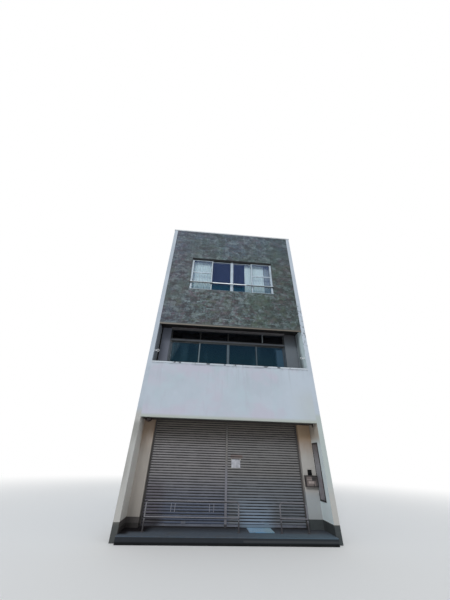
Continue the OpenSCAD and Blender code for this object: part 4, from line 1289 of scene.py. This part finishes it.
def notice():
    """A blank sheet of paper taped to the right shutter, with its corners lifting."""
    (x0, x1), (z0, z1) = NOTICE_X, NOTICE_Z
    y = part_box("right_shutter")[0].y + 0.0068
    sheet = upright_grid("shutter_notice", (x0, y, z0), (x1, y, z1), 16, 12)
    for v in sheet.data.vertices:
        across, up = (v.co.x - x0) / (x1 - x0), (v.co.z - z0) / (z1 - z0)
        lift = max(0.0, 0.32 - math.hypot(across - 1, up)) ** 2 * 0.08
        v.co.y -= 0.0006 * (1 + math.sin(9 * across + 4 * up)) + lift
    applied(sheet, "SOLIDIFY", thickness=PAPER_THICKNESS, offset=1.0)
    tape = block("tape", (x0 - 0.012, y - 0.0022, z0 - 0.014),
                 (x0 + 0.012, y - 0.0012, z0 + 0.014), PAPER_THICKNESS)
    tapes = with_copies(tape, [(0, 0, z1 - z0), (x1 - x0, 0, z1 - z0)])
    return sheet, joined("notice_tapes", tapes)


def porch_lamp():
    """A round lamp below the porch ceiling: a rim, a dished shade and a screw cap."""
    x, y, z = LAMP_X, FACADE_Y + LAMP_BACK, CEILING_Z
    base = disc("porch_lamp", (x, y, z - 0.02), LAMP_RADIUS, 0.04, "Z", 40, 0.006)
    deselect()
    middle = Vector((x, y, z - 0.038))
    bpy.ops.mesh.primitive_uv_sphere_add(segments=40, ring_count=20, radius=LAMP_RADIUS - 0.015,
                                         location=middle)
    shade = stretched(settle("shade"), middle, (1, 1, 0.55))
    edit_faces(shade, lambda at, normal: at.z > middle.z)
    bpy.ops.mesh.delete(type="FACE")
    bpy.ops.mesh.select_mode(type="EDGE")
    bpy.ops.mesh.select_all(action="DESELECT")
    bpy.ops.mesh.select_non_manifold()
    bpy.ops.mesh.edge_face_add()
    cap = disc("cap", (x, y, z - 0.091), 0.012, 0.01, "Z", 20, 0.003)
    return smooth(joined("porch_lamp", [base, shade, cap]), 40)


class SHOP_OT_entrance_fittings(bpy.types.Operator):
    """Builds the letterbox, door phone, sign panel, notice, porch lamp and corner bracket"""
    bl_idname = "shop.entrance_fittings"
    bl_label = "Entrance fittings"

    def execute(self, context):
        colours = context.scene.shop_house_colours
        case, flap, card = letterbox()
        fitted(case, letterbox_paint(colours.letterbox), "letterbox_metal", "letterbox")
        flap_metal = metal("letterbox_flap_metal", (0.55, 0.51, 0.50), 0.4, 0.3).done()
        fitted(flap, flap_metal, "window_metal")
        card_paper = plain_paper("letterbox_card_paper", (0.62, 0.575, 0.56), 0.7,
                                 (0.53, 0.495, 0.48), (14.0, 0.45, 0.65, 0.6), 300.0)
        fitted(card, card_paper, "notice_paper")
        black = metal("black_plastic", (0.055, 0.055, 0.065), 0.5, 0.08)
        black = black.give("Specular IOR Level", 0.15).done()
        fitted(door_phone(), black, "black_plastic", "door_phone")

        low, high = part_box("sign_plate")
        panel = block("sign_panel", (low.x + 0.002, low.y, low.z), high, 0.001)
        fitted(panel, sign_paint(), "sign_panel", "sign_plate")
        fitted(ring("sign_frame", low, high, 0.04, 0.0012, 0),
               metal("sign_frame_metal", (0.14, 0.13, 0.13), 0.5).done(), "guide_metal")
        sheet, tapes = notice()
        paper = plain_paper("plain_paper", (0.69, 0.695, 0.725), 0.8,
                            (0.57, 0.575, 0.60), (9.0, 0.40, 0.66), 400.0)
        fitted(sheet, paper, "notice_paper")
        fitted(tapes, metal("tape_film", (0.62, 0.62, 0.58), 0.3).done(), "notice_paper")

        enamel = metal("lamp_enamel", (0.17, 0.10, 0.10), 0.35, 0.2).done()
        fitted(porch_lamp(), enamel, "black_plastic")
        middle = FACADE_Y + BRACKET_BACK
        bracket = [block("bracket", (INNER_X - reach, middle - half, CEILING_Z - drop),
                         (INNER_X, middle + half, CEILING_Z), 0.002)
                   for reach, half, drop in ((0.012, 0.025, 0.085), (0.055, 0.013, 0.018))]
        fitted(joined("ceiling_corner_bracket", bracket),
               metal("bracket_paint", (0.16, 0.15, 0.15), 0.5, rust=0.5).done(), "guide_metal")
        return {"FINISHED"}


class SHOP_OT_laundry_brackets(bpy.types.Operator):
    """Finishes the laundry pole brackets and adds their rings"""
    bl_idname = "shop.laundry_brackets"
    bl_label = "Laundry pole brackets"

    def execute(self, context):
        paint = metal("bracket_white_paint", (0.92, 0.93, 0.94), 0.4, 0.1, 0.15).done()
        painted(paint, "laundry_pole_brackets")
        low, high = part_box("laundry_pole_brackets")
        y, z = (low.y + high.y) / 2, (low.z + high.z) / 2
        parts = []
        for side, wall in ((1, low.x), (-1, high.x)):
            deselect()
            bpy.ops.mesh.primitive_torus_add(
                location=(wall + side * 0.106, y, z), rotation=(math.pi / 2, 0, 0),
                major_radius=0.034, minor_radius=0.006, major_segments=32, minor_segments=10)
            parts.append(settle("ring"))
            screw = disc("screw", (wall + side * 0.007, y, z - 0.035), 0.006, 0.004, "X", 12, 0.001)
            parts += with_copies(screw, [(0, 0, 0.07)])
        fitted(smooth(joined("laundry_pole_rings", parts)), paint, "bracket_metal")
        return {"FINISHED"}


class SHOP_OT_door_mat(bpy.types.Operator):
    """Lays the door mat on the porch"""
    bl_idname = "shop.door_mat"
    bl_label = "Door mat"

    def execute(self, context):
        pile = context.scene.shop_house_colours.mat
        low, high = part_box("door_mat")
        mat = block("porch_door_mat", low, high)
        edit_edges(mat, lambda a, b: abs(a.z - b.z) > 0.005)
        bevel_edges(0.03, 5)
        panelled(mat, lambda at, normal: normal.z > 0.9, 0.022, 0.004, 0.0025)
        f = Finish("mat_pile", pile, 0.95, sheen_weight=0.3)
        tuft = f.node("TexVoronoi", {"Vector": f.place, "Scale": 160.0}).outputs["Distance"]
        f.over(pile, f.level(tuft, 0.5, 0.1), shade=0.7)
        f.over((0.34, 0.38, 0.42), f.patches(5.0, 0.5, 0.75, 0.6))
        start, end = (low.x + share * (high.x - low.x) for share in (0.50, 0.80))
        f.over((0.33, 0.52, 0.60), x=(start, end, 0.8))
        fitted(mat, f.bump(tuft, 0.002).done(), "mat_pile", "door_mat")
        return {"FINISHED"}


# Floor, light and camera

def white_seen_by_camera(tree, lit, white):
    """Mixes in a plain white for rays that see it straight, in a reflection or through glass."""
    rays = shader_node(tree, "LightPath").outputs
    seen = rays["Is Camera Ray"]
    for name in ("Is Glossy Ray", "Is Transmission Ray"):
        seen = shader_node(tree, "Math", {0: seen, 1: rays[name]}, operation="MAXIMUM").outputs[0]
    return shader_node(tree, "MixShader", {0: seen, 1: lit, 2: white}).outputs[0]


def studio_floor():
    """A wide pale floor that fades into white behind the object."""
    deselect()
    bpy.ops.mesh.primitive_circle_add(
        vertices=96, radius=FLOOR_RADIUS, fill_type="NGON", location=(0, 0, -0.002))
    floor = settle("studio_floor")
    f = Finish("studio_floor", (0.93, 0.93, 0.93), 0.9)
    f.done()
    distance = f.node("VectorMath", {0: f.place}, operation="LENGTH").outputs["Value"]
    white = f.node("Emission", {"Color": (1, 1, 1, 1), "Strength": 1.0}).outputs[0]
    lit = f.shader.outputs[0]
    far = f.node("MixShader", {0: f.level(distance, *FLOOR_FADE), 1: lit, 2: white}).outputs[0]
    shown = white_seen_by_camera(f.tree, lit, far)
    feed(f.tree, f.tree.nodes["Material Output"].inputs["Surface"], shown)
    floor.data.materials.append(f.material)


def studio_light(scene):
    """A soft sky all round, seen as white, and one broad lamp from high in front."""
    scene.world = bpy.data.worlds.new("studio_world")
    scene.world.use_nodes = True
    tree = scene.world.node_tree
    soft, plain = tree.nodes["Background"], shader_node(tree, "Background")
    for sky, colour, strength in ((soft, (0.93, 0.97, 1.0, 1), SKY_STRENGTH),
                                  (plain, (1, 1, 1, 1), 1.0)):
        feed(tree, sky.inputs["Color"], colour)
        feed(tree, sky.inputs["Strength"], strength)
    shown = white_seen_by_camera(tree, soft.outputs[0], plain.outputs[0])
    feed(tree, tree.nodes["World Output"].inputs["Surface"], shown)
    bpy.ops.object.light_add(type="SUN", location=KEY_PLACE)
    lamp = bpy.context.object
    lamp.name = "studio_key"
    lamp.data.energy, lamp.data.angle = KEY_STRENGTH, math.radians(KEY_SOFTNESS)
    lamp.rotation_mode = "QUATERNION"
    lamp.rotation_quaternion = Vector(KEY_DIRECTION).normalized().to_track_quat("-Z", "Y")


def photo_camera(scene):
    """The camera, tilted up at the front from across the street."""
    forward = Vector((math.sin(CAMERA_YAW) * math.cos(CAMERA_PITCH),
                      math.cos(CAMERA_YAW) * math.cos(CAMERA_PITCH), math.sin(CAMERA_PITCH)))
    level_right = Vector((math.cos(CAMERA_YAW), -math.sin(CAMERA_YAW), 0))
    level_up = level_right.cross(forward)
    right = level_right * math.cos(CAMERA_ROLL) + level_up * math.sin(CAMERA_ROLL)
    up = level_up * math.cos(CAMERA_ROLL) - level_right * math.sin(CAMERA_ROLL)
    data = bpy.data.cameras.new("photo_camera")
    data.sensor_width = data.sensor_height = SENSOR
    data.lens = FOCAL_LENGTH / PICTURE_HEIGHT * SENSOR
    camera = bpy.data.objects.new("photo_camera", data)
    scene.collection.objects.link(camera)
    turn = Matrix((right, up, -forward)).transposed().to_4x4()
    camera.matrix_world = Matrix.Translation((CAMERA_X, FACADE_Y - CAMERA_BACK, CAMERA_Z)) @ turn
    scene.camera = camera


class SHOP_OT_stage(bpy.types.Operator):
    """Sets the floor, the light and the camera"""
    bl_idname = "shop.stage"
    bl_label = "Floor, light and camera"

    def execute(self, context):
        studio_floor()
        studio_light(context.scene)
        photo_camera(context.scene)
        context.scene.view_settings.view_transform = "Standard"
        return {"FINISHED"}


class SHOP_PT_panel(bpy.types.Panel):
    """Lists the steps that finish the shop house"""
    bl_idname = "SHOP_PT_panel"
    bl_label = "Shop House"
    bl_space_type = "VIEW_3D"
    bl_region_type = "UI"
    bl_category = "Shop House"

    def draw(self, context):
        for operator in STEPS:
            self.layout.operator(operator.bl_idname)
        for group in (context.scene.shop_house_sizes, context.scene.shop_house_colours):
            for name in group.__annotations__:
                self.layout.prop(group, name)


STEPS = (SHOP_OT_masonry, SHOP_OT_tile_facade, SHOP_OT_copings, SHOP_OT_windows, SHOP_OT_curtains,
         SHOP_OT_shutters, SHOP_OT_guard_rails, SHOP_OT_entrance_fittings, SHOP_OT_laundry_brackets,
         SHOP_OT_door_mat, SHOP_OT_stage)
CLASSES = (ShopHouseSizes, ShopHouseColours, *STEPS, SHOP_PT_panel)


def register():
    for item in CLASSES:
        bpy.utils.register_class(item)
    bpy.types.Scene.shop_house_sizes = bpy.props.PointerProperty(type=ShopHouseSizes)
    bpy.types.Scene.shop_house_colours = bpy.props.PointerProperty(type=ShopHouseColours)


def unregister():
    del bpy.types.Scene.shop_house_colours
    del bpy.types.Scene.shop_house_sizes
    for item in reversed(CLASSES):
        bpy.utils.unregister_class(item)


def main():
    register()
    for step in STEPS:
        group, name = step.bl_idname.split(".")
        if getattr(getattr(bpy.ops, group), name)() != {"FINISHED"}:
            raise RuntimeError(f"{step.bl_label} didn't finish")
    deselect()


if __name__ == "__main__":
    main()
